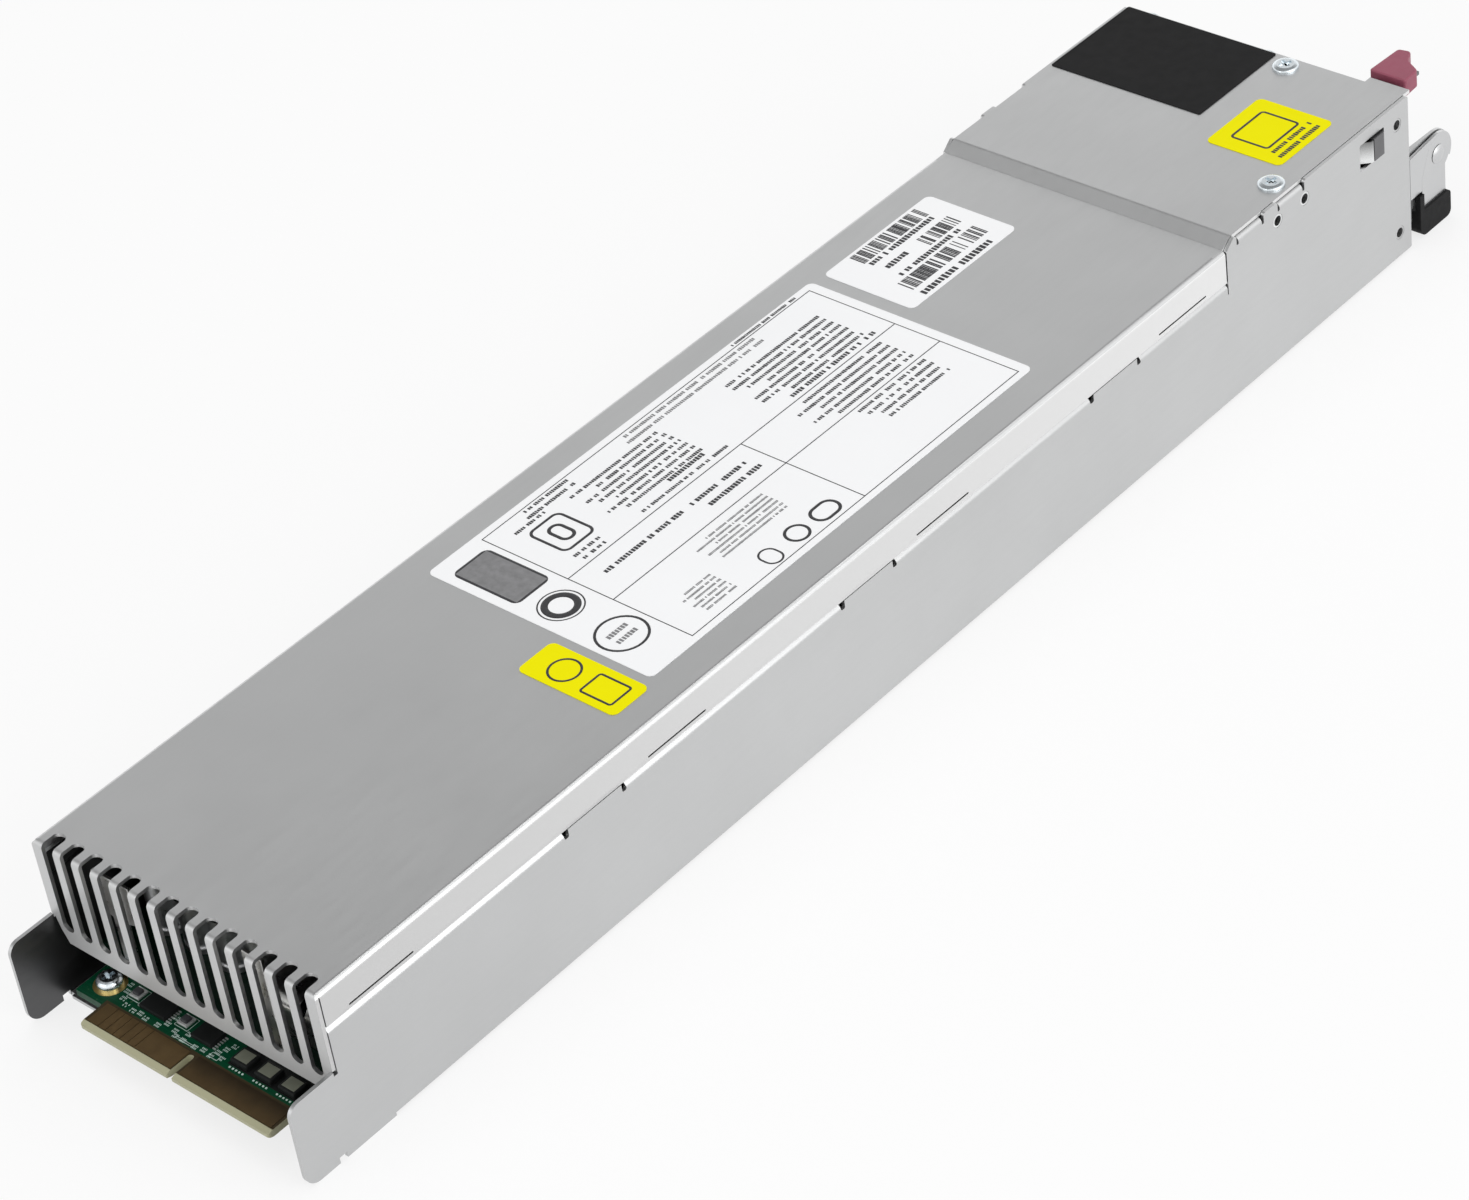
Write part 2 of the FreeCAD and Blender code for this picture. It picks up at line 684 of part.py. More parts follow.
def rear_panel():
    low_z = SHEET + 2 * FIT
    section = folded([(PANEL_X, REAR - FLANGE_L), (PANEL_X, REAR), (-PANEL_X, REAR), (-PANEL_X, REAR - FLANGE_L)])
    panel = prism(section, "z", low_z, BAR_Z)
    ledge_left = REAR_SCREW_X - LEDGE_W / 2
    ledge_right = REAR_SCREW_X + LEDGE_W / 2
    root_z = BAR_Z - SHEET - BEND
    panel = panel.cut(box(ledge_left, ledge_right, REAR - SHEET, REAR, root_z, BAR_Z))
    ledge = folded([(REAR, root_z), (REAR, BAR_Z), (REAR - LEDGE_L, BAR_Z)])
    collars = [collar(REAR - JOINT_INSET, JOINT_LOW_Z), collar(REAR - JOINT_INSET, JOINT_TOP_Z)]
    panel = fuse([panel, prism(ledge, "x", ledge_left, ledge_right)] + both_sides(collars))
    cuts = [rod("y", FAN_X, FAN_Z, REAR - SHEET - 1, REAR + 1, FAN_BORE_R)]
    for x, z in fan_corners():
        cuts.append(rod("y", x, z, REAR - SHEET - 1, REAR + 1, FAN_SCREW_R + FIT))
    hole = [
        (INLET_X - INLET_W / 2 - FIT, INLET_Z - INLET_H / 2 - FIT),
        (INLET_X + INLET_W / 2 + FIT, INLET_Z - INLET_H / 2 - FIT),
        (INLET_X + INLET_W / 2 + FIT, INLET_Z + INLET_H / 2 + FIT),
        (INLET_X - INLET_W / 2 - FIT, INLET_Z + INLET_H / 2 + FIT),
    ]
    cuts.append(prism(hole, "y", REAR - SHEET - 1, REAR + 1))
    cuts.append(rod("y", LAMP_X, LAMP_Z, REAR - SHEET - 1, REAR + 1, LAMP_R + FIT))
    notch_z = FINGER_Z - BAIL_GAP
    cuts.append(box(PANEL_X + SHEET - LATCH_GAP_W, HALF_W, REAR - FLANGE_L - 1, REAR + 1, notch_z, REAR_H))
    cuts.append(rod("z", REAR_SCREW_X, REAR - REAR_SCREW_INSET, BAR_Z - SHEET - 1, BAR_Z + 1, COVER_SCREW_R + FIT / 2))
    side = []
    for z in (JOINT_LOW_Z, JOINT_TOP_Z):
        side.append(rod("x", REAR - JOINT_INSET, z, BRACKET_X, HALF_W + 1, JOINT_R))
    slot_low = BRACKET_LOW_Z - FIT
    slot_x = BRACKET_X - BRACKET_T - FIT
    side.append(box(slot_x, BRACKET_X + FIT, REAR - SHEET - BEND, REAR + 1, slot_low, BRACKET_TOP_Z + FIT))
    return panel.cut(Part.makeCompound(cuts + both_sides(side)))


def handle_bracket():
    """The right bracket: a flat strip joined inside the case, with the handle's pivot eye outside."""
    inside = REAR - SHEET - BRACKET_DEPTH
    inner = [(inside, BRACKET_LOW_Z, 1), (REAR, BRACKET_LOW_Z), (REAR, BRACKET_TOP_Z), (inside, BRACKET_TOP_Z, 1)]
    strip = prism(inner, "x", BRACKET_X - BRACKET_T, BRACKET_X)
    wing = [
        (REAR - SHEET, BRACKET_LOW_Z + SHEET),
        (REAR + GRIP_OUT - 1, BRACKET_LOW_Z + SHEET, 1),
        (REAR + GRIP_OUT - 1, GRIP_Z + GRIP_H + 1, 1),
        (PIVOT_Y, PIVOT_Z - BRACKET_EYE_R),
        (PIVOT_Y, PIVOT_Z + BRACKET_EYE_R),
        (REAR - SHEET, BRACKET_TOP_Z),
    ]
    outer = prism(wing, "x", BRACKET_X - BRACKET_T, BRACKET_X)
    eye = rod("x", PIVOT_Y, PIVOT_Z, BRACKET_X - BRACKET_T, BRACKET_X, BRACKET_EYE_R)
    bracket = fuse([strip, outer, eye])
    hole = rod("x", PIVOT_Y, PIVOT_Z, BRACKET_X - 2, BRACKET_X + 1, RIVET_R + RIVET_GAP)
    joint = rod("x", REAR - JOINT_INSET, JOINT_LOW_Z, BRACKET_X - 2, BRACKET_X + 1, JOINT_R)
    return bracket.cut(Part.makeCompound([hole, joint]))


def bail_path_low():
    """Lower edge of the handle's cross strip, inside the grip."""
    return GRIP_Z + (GRIP_H - BAIL_T) / 2


def handle_bail():
    """A folded strip: two arms with eyes, and a cross strip inside the grip."""
    low = bail_path_low()
    back = REAR + GRIP_OUT + GRIP_HORN_T + FIT
    arm = [
        (back, low),
        (back + BAIL_W, low),
        (back + BAIL_W, PIVOT_Z - BAIL_EYE_R + 1.2),
        (PIVOT_Y + BAIL_EYE_R * math.cos(math.radians(20)), PIVOT_Z - BAIL_EYE_R * math.sin(math.radians(20))),
        (PIVOT_Y - BAIL_EYE_R * math.cos(math.radians(20)), PIVOT_Z + BAIL_EYE_R * math.sin(math.radians(20))),
        (back, PIVOT_Z - BAIL_EYE_R + 1.2),
    ]
    eye = rod("x", PIVOT_Y, PIVOT_Z, BAIL_X, BAIL_X + BAIL_T, BAIL_EYE_R)
    side = fuse([prism(arm, "x", BAIL_X, BAIL_X + BAIL_T), eye])
    section = folded([(-BAIL_X - BAIL_T, PIVOT_Z / 2), (-BAIL_X - BAIL_T, low), (BAIL_X + BAIL_T, low), (BAIL_X + BAIL_T, PIVOT_Z / 2)], BAIL_T)
    strip = prism(section, "y", back, back + BAIL_W)
    side = side.cut(box(0, HALF_W, REAR, back + CASE_W, 0, PIVOT_Z / 2 - 1))
    bail = fuse([strip] + both_sides([side]))
    hole = rod("x", PIVOT_Y, PIVOT_Z, BAIL_X - 1, BAIL_X + 2, RIVET_R + RIVET_GAP)
    return bail.cut(Part.makeCompound(both_sides([hole])))


def handle_grip(bail):
    """Moulded grip round the cross strip, with a horn up the inner edge of each arm."""
    half = HALF_W - FIT
    back = REAR + GRIP_OUT
    block = prism(
        [
            (back, GRIP_Z, 2.2),
            (back + GRIP_T, GRIP_Z, 1.5),
            (back + GRIP_T, GRIP_Z + GRIP_H, 1.2),
            (back, GRIP_Z + GRIP_H),
        ],
        "x", -half, half,
    )
    horn = box(BAIL_X, half, back, back + GRIP_HORN_T, GRIP_Z + GRIP_H / 2, GRIP_Z + GRIP_H + GRIP_HORN_H)
    grip = fuse([block] + both_sides([horn]))
    return grip.cut(bail)


def handle_rivet():
    """The right pivot rivet: a domed head outside, a flat head inside."""
    start = BRACKET_X - BRACKET_T
    end = BAIL_X + BAIL_T + FIT
    shank = rod("x", PIVOT_Y, PIVOT_Z, start, end, RIVET_R)
    ball_r = (RIVET_HEAD_R ** 2 + RIVET_HEAD_H ** 2) / (2 * RIVET_HEAD_H)
    ball = Part.makeSphere(ball_r, V(end + RIVET_HEAD_H - ball_r, PIVOT_Y, PIVOT_Z))
    dome = rod("x", PIVOT_Y, PIVOT_Z, end, end + RIVET_HEAD_H, RIVET_HEAD_R).common(ball)
    tail = rod("x", PIVOT_Y, PIVOT_Z, start - FIT - RIVET_HEAD_H, start - FIT, RIVET_HEAD_R)
    neck = rod("x", PIVOT_Y, PIVOT_Z, start - FIT, start, RIVET_R)
    return fuse([shank, dome, tail, neck])


def latch_foot():
    """Fixed foot of the leaf spring, joined to the right wall and stepped in to the arm's line."""
    front = REAR - LATCH_FOOT_FRONT
    bend_y = REAR - LATCH_FOOT_BACK
    flex_y = REAR - LATCH_PIVOT
    path = [
        (PANEL_X, front),
        (PANEL_X, bend_y),
        (LATCH_X, bend_y + PANEL_X - LATCH_X),
        (LATCH_X, flex_y),
    ]
    strip = prism(folded(path, LATCH_T), "z", LATCH_LOW_Z, LATCH_TOP_Z)
    collars = [collar(REAR - inset, LATCH_JOINT_Z) for inset in LATCH_JOINTS]
    holes = []
    for inset in LATCH_JOINTS:
        holes.append(rod("x", REAR - inset, LATCH_JOINT_Z, PANEL_X - SHEET - 1, HALF_W + 1, JOINT_R))
    return fuse([strip] + collars).cut(Part.makeCompound(holes))


def latch_arm():
    """Moving arm of the leaf spring: a flat strip, a raised ramp and a finger out over the panel."""
    start = REAR - LATCH_PIVOT + BAIL_GAP
    end = REAR - ARM_TAIL
    strip = box(LATCH_X - LATCH_T, LATCH_X, start, end, LATCH_LOW_Z, LATCH_TOP_Z)
    ramp_y = REAR - RAMP_FRONT
    crest_y = REAR - WINDOW_BACK - CATCH_L - 1
    tip_x = HALF_W + CATCH_OUT
    ramp = [
        (LATCH_X - LATCH_T, ramp_y - 1),
        (LATCH_X, ramp_y - 1),
        (tip_x, crest_y - 0.6, 0.5),
        (tip_x, crest_y),
        (tip_x - LATCH_T, crest_y),
        (LATCH_X - LATCH_T, ramp_y + 1),
    ]
    wedge = prism(ramp, "z", WINDOW_LOW_Z + 0.6, WINDOW_TOP_Z - 0.6)
    finger_end = REAR + TAB_OUT + TAB_DEPTH - 3.5
    web_end = REAR - ARM_TAIL
    rise = folded([(LATCH_X, LATCH_TOP_Z - 2), (LATCH_X, FINGER_Z + FINGER_T), (LATCH_X - FINGER_W, FINGER_Z + FINGER_T)], FINGER_T)
    web = prism(rise, "y", web_end - 8, web_end)
    finger = box(LATCH_X - FINGER_W, LATCH_X - FINGER_T - BEND, web_end - 8, finger_end, FINGER_Z, FINGER_Z + FINGER_T)
    return fuse([strip, wedge, web, finger])


def latch_catch():
    """Hardened block behind the ramp, which holds the supply in its bay."""
    back = REAR - WINDOW_BACK - 0.7
    front = back - CATCH_L
    corners = [(LATCH_X, front), (HALF_W + CATCH_OUT, front), (HALF_W + CATCH_OUT, back, 0.4), (LATCH_X, back)]
    return prism(corners, "z", WINDOW_LOW_Z + 0.5, WINDOW_TOP_Z - 0.5)


def latch_tab(arm):
    """Moulded tab on the finger, hollowed on its outer side for a fingertip."""
    near = REAR + TAB_OUT
    far = near + TAB_DEPTH
    shape = [
        (TAB_INNER_X, near, 0.6),
        (TAB_OUTER_X, near, 0.6),
        (TAB_OUTER_X - 0.3, near + 5.1, 1.2),
        (TAB_OUTER_X - 4.2, near + 7.4, 3.0),
        (TAB_INNER_X + 3.6, far, 1.0),
        (TAB_INNER_X + 0.6, far - 0.6, 1.0),
    ]
    body = prism(shape, "z", TAB_LOW_Z, TAB_TOP_Z)
    edges = [edge for edge in body.Edges if abs(edge.CenterOfMass.z - TAB_TOP_Z) < 1e-6]
    body = body.makeFillet(0.4, edges)
    return body.cut(arm)


def fan_corners():
    half = FAN_PITCH / 2
    return [(FAN_X + sx * half, FAN_Z + sz * half) for sx in (-1, 1) for sz in (-1, 1)]


def fan_frame():
    half = FAN_SIZE / 2
    front = FAN_BACK - FAN_T
    square = rounded(FAN_X - half, FAN_X + half, FAN_Z - half, FAN_Z + half, FAN_CORNER_R)
    flanges = [
        prism(square, "y", front, front + FAN_FLANGE_T),
        prism(square, "y", FAN_BACK - FAN_FLANGE_T, FAN_BACK),
        rod("y", FAN_X, FAN_Z, front, FAN_BACK, half),
    ]
    shell = fuse(flanges)
    cuts = [rod("y", FAN_X, FAN_Z, front - 1, FAN_BACK + 1, FAN_BORE_R)]
    for x, z in fan_corners():
        cuts.append(rod("y", x, z, front - 1, FAN_BACK + 1, FAN_SCREW_R + FIT))
    shell = shell.cut(Part.makeCompound(cuts))
    disc = rod("y", FAN_X, FAN_Z, FAN_BACK - MOTOR_DISC_T, FAN_BACK, HUB_R)
    struts = []
    for angle in (45, 135, 225, 315):
        strut = box(FAN_X + HUB_R - 1, FAN_X + FAN_BORE_R + 0.6, FAN_BACK - MOTOR_DISC_T, FAN_BACK, -STRUT_W / 2, STRUT_W / 2)
        strut.translate(V(0, 0, FAN_Z))
        strut.rotate(V(FAN_X, 0, FAN_Z), V(0, 1, 0), angle)
        struts.append(strut)
    frame = fuse([shell, disc] + struts)
    return frame.cut(rod("y", FAN_X, FAN_Z, FAN_BACK - MOTOR_DISC_T - 1, FAN_BACK - 1, BEARING_R + FIT / 2))


def blade_section(radius, pitch):
    """A thin cambered section, tangent to the given radius."""
    lean = math.radians(pitch)
    run = BLADE_CHORD / 2 * math.cos(lean)
    rise = BLADE_CHORD / 2 * math.sin(lean)
    bow_u = -math.sin(lean)
    bow_v = math.cos(lean)
    middle = FAN_BACK - FAN_T + HUB_SETBACK + HUB_L / 2

    def at(across, along):
        return V(FAN_X + across, middle + along, FAN_Z + radius)

    low = (-run, -rise)
    high = (run, rise)
    half = BLADE_T / 2
    corners = []
    for bow in (BLADE_CAMBER - half, BLADE_CAMBER + half):
        side = half if bow > BLADE_CAMBER else -half
        corners.append((
            at(low[0] + bow_u * side, low[1] + bow_v * side),
            at(bow_u * bow, bow_v * bow),
            at(high[0] + bow_u * side, high[1] + bow_v * side),
        ))
    (a0, a1, a2), (b0, b1, b2) = corners
    edges = [
        Part.Arc(a0, a1, a2).toShape(),
        Part.makeLine(a2, b2),
        Part.Arc(b2, b1, b0).toShape(),
        Part.makeLine(b0, a0),
    ]
    return Part.Wire(edges)


def fan_rotor():
    front = FAN_BACK - FAN_T + HUB_SETBACK
    back = front + HUB_L
    hub = rod("y", FAN_X, FAN_Z, front, back, HUB_R)
    sections = [
        blade_section(HUB_R - HUB_WALL / 2, BLADE_ROOT_PITCH),
        blade_section((HUB_R + FAN_BORE_R) / 2, (BLADE_ROOT_PITCH + BLADE_TIP_PITCH) / 2),
        blade_section(FAN_BORE_R + 1, BLADE_TIP_PITCH),
    ]
    blade = Part.makeLoft(sections, True, True)
    blade = blade.cut(rod("y", FAN_X, FAN_Z, front - HUB_L, back + HUB_L, HUB_R - HUB_WALL / 2))
    blades = []
    for i in range(BLADE_COUNT):
        turned = blade.copy()
        turned.rotate(V(FAN_X, 0, FAN_Z), V(0, 1, 0), i * 360 / BLADE_COUNT)
        blades.append(turned)
    sweep = rod("y", FAN_X, FAN_Z, front - HUB_L, back + HUB_L, FAN_BORE_R - BLADE_GAP)
    rotor = fuse([hub] + blades).common(sweep)
    hollow = rod("y", FAN_X, FAN_Z, front + HUB_WALL, back + 1, HUB_R - HUB_WALL)
    boss = rod("y", FAN_X, FAN_Z, front + HUB_WALL / 2, front + HUB_WALL + 1.5, BEARING_R)
    bore = rod("y", FAN_X, FAN_Z, front + HUB_WALL / 2, back, SHAFT_R + SHAFT_GAP / 4)
    return rotor.cut(hollow).fuse(boss).removeSplitter().cut(bore)


def fan_shaft():
    front = FAN_BACK - FAN_T + HUB_SETBACK + HUB_WALL / 2
    return rod("y", FAN_X, FAN_Z, front, FAN_BACK - MOTOR_DISC_T / 2 - 1, SHAFT_R)


def fan_bearing():
    start = FAN_BACK - MOTOR_DISC_T - STATOR_L - 1
    end = FAN_BACK - 1
    sleeve = rod("y", FAN_X, FAN_Z, start, end, BEARING_R)
    return sleeve.cut(rod("y", FAN_X, FAN_Z, start - 1, FAN_BACK - MOTOR_DISC_T / 2, SHAFT_R + SHAFT_GAP))


def fan_stator():
    """Wound stator inside the hub, on the bearing sleeve."""
    end = FAN_BACK - MOTOR_DISC_T - FIT
    core = rod("y", FAN_X, FAN_Z, end - STATOR_L, end, HUB_R - HUB_WALL - STATOR_GAP)
    cuts = [rod("y", FAN_X, FAN_Z, end - STATOR_L - 1, end + 1, BEARING_R + FIT / 2)]
    for angle in (0, 90, 180, 270):
        slot = box(FAN_X - 0.6, FAN_X + 0.6, end - STATOR_L - 1, end + 1, FAN_Z + BEARING_R + 1.5, FAN_Z + HUB_R)
        slot.rotate(V(FAN_X, 0, FAN_Z), V(0, 1, 0), angle)
        cuts.append(slot)
    return core.cut(Part.makeCompound(cuts))


def fan_guard():
    """Wire finger guard: four ribs with an eyelet at each screw, and rings welded across the ribs."""
    level = REAR + FIT + GUARD_WIRE_R
    ring_level = level + 2 * GUARD_WIRE_R - GUARD_WELD
    wires = []
    gap = (GUARD_OUTER_R - GUARD_INNER_R) / (GUARD_RINGS - 1)
    for i in range(GUARD_RINGS):
        centre = V(FAN_X, ring_level, FAN_Z)
        wires.append(Part.makeTorus(GUARD_INNER_R + i * gap, GUARD_WIRE_R, centre, V(0, 1, 0)))
    eyelet_r = FAN_SCREW_R + FIT + GUARD_WIRE_R
    reach = math.hypot(FAN_PITCH, FAN_PITCH) / 2 - eyelet_r
    for x, z in fan_corners():
        wires.append(Part.makeTorus(eyelet_r, GUARD_WIRE_R, V(x, level, z), V(0, 1, 0)))
        outward = V(x - FAN_X, 0, z - FAN_Z)
        outward.normalize()
        inner = GUARD_INNER_R - GUARD_WIRE_R
        start = V(FAN_X, level, FAN_Z) + outward * inner
        wires.append(Part.makeCylinder(GUARD_WIRE_R, reach - inner, start, outward))
    guard = wires[0]
    for wire in wires[1:]:
        guard = guard.fuse(wire)
    return guard


def fan_screws():
    seat = REAR + 2 * FIT + 2 * GUARD_WIRE_R
    screws = []
    for x, z in fan_corners():
        screw = pan_screw(0, 0, 0, FAN_SCREW_R, FAN_SCREW_L, FAN_HEAD_R, FAN_HEAD_H)
        screw.rotate(V(0, 0, 0), V(1, 0, 0), -90)
        screw.translate(V(x, seat, z))
        screws.append(screw)
    return screws


def pin_spots():
    """Line, neutral and earth pins: x, z and length of the part that stands in the recess."""
    half = PIN_SPREAD / 2
    return [(INLET_X - half, INLET_Z - PIN_SHIFT), (INLET_X + half, INLET_Z - PIN_SHIFT), (INLET_X, INLET_Z + PIN_SHIFT)]


def pin(x, z, grow=0.0):
    rim = REAR + FIT + INLET_RIM_T
    back = REAR + FIT - INLET_L
    half_w = PIN_W / 2 + grow
    half_h = PIN_H / 2 + grow
    return box(x - half_w, x + half_w, back - PIN_TAIL, rim - PIN_SETBACK, z - half_h, z + half_h)


def inlet_body():
    seat = REAR + FIT
    half_w = INLET_W / 2
    half_h = INLET_H / 2
    body = box(INLET_X - half_w, INLET_X + half_w, seat - INLET_L, seat, INLET_Z - half_h, INLET_Z + half_h)
    rim_w = INLET_RIM_W / 2
    rim_h = INLET_RIM_H / 2
    rim = prism(rounded(INLET_X - rim_w, INLET_X + rim_w, INLET_Z - rim_h, INLET_Z + rim_h, 1.5), "y", seat, seat + INLET_RIM_T)
    w = RECESS_W / 2
    h = RECESS_H / 2
    recess = [
        (INLET_X - w, INLET_Z - h, 1),
        (INLET_X + w, INLET_Z - h, 1),
        (INLET_X + w, INLET_Z + h - RECESS_BEVEL, 1),
        (INLET_X + w - RECESS_BEVEL, INLET_Z + h, 1),
        (INLET_X - w + RECESS_BEVEL, INLET_Z + h, 1),
        (INLET_X - w, INLET_Z + h - RECESS_BEVEL, 1),
    ]
    cuts = [prism(recess, "y", seat + INLET_RIM_T - RECESS_L, seat + INLET_RIM_T + 1)]
    cuts += [pin(x, z, FIT / 4) for x, z in pin_spots()]
    return fuse([body, rim]).cut(Part.makeCompound(cuts))


def status_lamp():
    rim = REAR + LAMP_PROUD
    pipe = rod("y", LAMP_X, LAMP_Z, rim - LAMP_L, rim, LAMP_R)
    edges = [edge for edge in pipe.Edges if abs(edge.CenterOfMass.y - rim) < 1e-6]
    return pipe.makeFillet(LAMP_R / 3, edges)


def main_board():
    neck = BOARD_NECK_W / 2
    half = BOARD_W / 2
    wide_y = FRONT - BOARD_FRONT + BOARD_NECK_L
    shape = [
        (CARD_LEFT, FRONT - CARD_FRONT, 0.6),
        (CARD_RIGHT, FRONT - CARD_FRONT, 0.6),
        (CARD_RIGHT, FRONT - BOARD_FRONT, 0.6),
        (neck, FRONT - BOARD_FRONT),
        (neck, wide_y),
        (half, wide_y),
        (half, REAR - BOARD_BACK),
        (-half, REAR - BOARD_BACK),
        (-half, wide_y),
        (-neck, wide_y),
        (-neck, FRONT - BOARD_FRONT),
        (CARD_LEFT, FRONT - BOARD_FRONT, 0.6),
    ]
    board = prism(shape, "z", BOARD_LOW_Z, BOARD_TOP_Z)
    key_r = CARD_KEY_W / 2
    key_front = FRONT - CARD_FRONT
    key = [
        (CARD_KEY_X - key_r, key_front - 1),
        (CARD_KEY_X + key_r, key_front - 1),
        (CARD_KEY_X + key_r, key_front + CARD_KEY_L, key_r),
        (CARD_KEY_X - key_r, key_front + CARD_KEY_L, key_r),
    ]
    cuts = [prism(key, "z", BOARD_LOW_Z - 1, BOARD_TOP_Z + 1)]
    for z, side in ((BOARD_TOP_Z, -1), (BOARD_LOW_Z, 1)):
        wedge = [(key_front, z), (key_front, z + side * CARD_BEVEL), (key_front + 1.2, z)]
        cuts.append(prism(wedge, "x", CARD_LEFT - 1, CARD_RIGHT + 1))
    for x, y in standoff_spots():
        cuts.append(rod("z", x, y, BOARD_LOW_Z - 1, BOARD_TOP_Z + 1, BOARD_SCREW_R + FIT))
    return board.cut(Part.makeCompound(cuts))


def edge_contacts():
    """Gold fingers on both faces: signal fingers left of the key, wide power pads right of it."""
    front = FRONT - CARD_FRONT + CONTACT_SETBACK + CARD_BEVEL + 0.3
    back = front + CONTACT_L
    margin = (CONTACT_PITCH - CONTACT_W) / 2
    spans = []
    x = CARD_LEFT + 0.7
    while x + CONTACT_W < CARD_KEY_X - CARD_KEY_W / 2 - margin:
        spans.append((x, x + CONTACT_W))
        x += CONTACT_PITCH
    start = CARD_KEY_X + CARD_KEY_W / 2 + 0.6
    width = (CARD_RIGHT - 0.7 - start + CONTACT_PITCH - CONTACT_W) / POWER_PADS
    for i in range(POWER_PADS):
        spans.append((start + i * width, start + (i + 1) * width - 2 * margin))
    pads = []
    for x0, x1 in spans:
        pads.append(box(x0, x1, front, back, BOARD_TOP_Z, BOARD_TOP_Z + CONTACT_T))
        pads.append(box(x0, x1, front, back, BOARD_LOW_Z - CONTACT_T, BOARD_LOW_Z))
    return pads


def insulating_sheet():
    half = INNER_X - 1.5
    low = SHEET + FIT
    film = box(-half, half, FRONT - FLOOR_REACH + 1, REAR - BOARD_BACK, low, low + FILM_T)
    holes = [rod("z", x, y, low - 1, low + 1, STANDOFF_R + 2 * FIT) for x, y in standoff_spots()]
    return film.cut(Part.makeCompound(holes))


def board_standoffs():
    posts = []
    for x, y in standoff_spots():
        post = rod("z", x, y, SHEET, BOARD_LOW_Z, STANDOFF_R)
        posts.append(post.cut(rod("z", x, y, SHEET - 1, BOARD_LOW_Z + 1, BOARD_SCREW_R + FIT / 2)))
    return posts


def board_screws():
    length = BOARD_T + 3.5
    screws = []
    for x, y in standoff_spots():
        screws.append(pan_screw(x, y, BOARD_TOP_Z + FIT / 2, BOARD_SCREW_R, length, BOARD_HEAD_R, BOARD_HEAD_H))
    return screws


def block(x, y, w, length, height, radius=0.0):
    """A part on the board, centred at x and at y from the vented lip."""
    x0 = x - w / 2
    y0 = FRONT + y - length / 2
    if radius == 0:
        return box(x0, x0 + w, y0, y0 + length, DECK_Z, DECK_Z + height)
    return prism(rounded(x0, x0 + w, y0, y0 + length, radius), "z", DECK_Z, DECK_Z + height)


def can(x, y, radius, height):
    """An upright capacitor with a pinched rim."""
    body = rod("z", x, FRONT + y, DECK_Z, DECK_Z + height, radius)
    groove = Part.makeTorus(radius + 0.3, 0.7, V(x, FRONT + y, DECK_Z + 1.8), V(0, 0, 1))
    return body.cut(groove)


def logic_chips():
    return [block(x, 0.6, CHIP_LONG, CHIP_SHORT, CHIP_H) for x in CHIP_SPOTS]


def filter_coils():
    return [block(x, 1.4, COIL_SIZE, COIL_SIZE, COIL_H, 0.4) for x in COIL_SPOTS]


def output_transistors():
    return [block(x, 0.2, OUTPUT_FET_W, OUTPUT_FET_W - 1, OUTPUT_FET_H) for x in OUTPUT_FET_SPOTS]


def output_capacitors():
    cans = []
    for i in range(OUT_CAP_COLUMNS):
        for j in range(OUT_CAP_ROWS):
            cans.append(can(OUT_CAP_X + i * OUT_CAP_PITCH, OUT_CAP_Y + j * OUT_CAP_PITCH, OUT_CAP_R, OUT_CAP_H))
    return cans


def output_bars():
    """Two folded copper bars from the rectifiers to the card edge."""
    bars = []
    for i in (-1, 1):
        x = BUS_X + i * (BUS_W + 2) / 2
        y0 = FRONT + BUS_Y
        low = DECK_Z
        path = [(y0, low), (y0, low + 9), (y0 + BUS_L, low + 9), (y0 + BUS_L, low)]
        bars.append(prism(folded(path[::-1], BUS_T, 1), "x", x - BUS_W / 2, x + BUS_W / 2))
    return bars


def finned_sink(x, y, width, length, height, base_t):
    """An upright aluminium sink: a base wall along Y with fins that stand off it."""
    x0 = x - width / 2
    y0 = FRONT + y
    pieces = [box(x0, x0 + base_t, y0, y0 + length, DECK_Z, DECK_Z + height)]
    gap = (height - FIN_T) / (FIN_COUNT - 1)
    for i in range(FIN_COUNT):
        z = DECK_Z + i * gap
        pieces.append(box(x0, x0 + width, y0, y0 + length, z, z + FIN_T))
    return fuse(pieces)


def secondary_heatsink():
    return finned_sink(SYNC_SINK_X, SYNC_SINK_Y, SYNC_SINK_W, SYNC_SINK_L, SYNC_SINK_H, 3)


def primary_heatsink():
    return finned_sink(PRIMARY_SINK_X, PRIMARY_SINK_Y, PRIMARY_SINK_W, PRIMARY_SINK_L, PRIMARY_SINK_H, 3)


def transformer_core():
    """Ferrite core: a closed frame with a middle leg."""
    x0 = CORE_X - CORE_W / 2
    y0 = FRONT + CORE_Y
    core = box(x0, x0 + CORE_W, y0, y0 + CORE_L, DECK_Z, DECK_Z + CORE_H)
    leg = CORE_LEG / 2
    windows = []
    for z in (DECK_Z + leg, DECK_Z + CORE_H / 2 + leg):
        windows.append(box(x0 - 1, x0 + CORE_W + 1, y0 + leg, y0 + CORE_L - leg, z, z + CORE_H / 2 - 2 * leg))
    return core.cut(Part.makeCompound(windows))


def transformer_winding():
    """Taped winding round the core's middle leg, through both windows."""
    leg = CORE_LEG / 2
    gap = COIL_GAP
    x0 = CORE_X - CORE_W / 2 - 4
    x1 = CORE_X + CORE_W / 2 + 4
    y0 = FRONT + CORE_Y + leg + gap
    y1 = FRONT + CORE_Y + CORE_L - leg - gap
    middle = DECK_Z + CORE_H / 2
    outer = prism(rounded(x0, x1, DECK_Z + leg + gap, DECK_Z + CORE_H - leg - gap, 3), "y", y0, y1)
    inner = box(CORE_X - CORE_W / 2 - gap, CORE_X + CORE_W / 2 + gap, y0 - 1, y1 + 1, middle - leg - gap, middle + leg + gap)
    return outer.cut(inner)


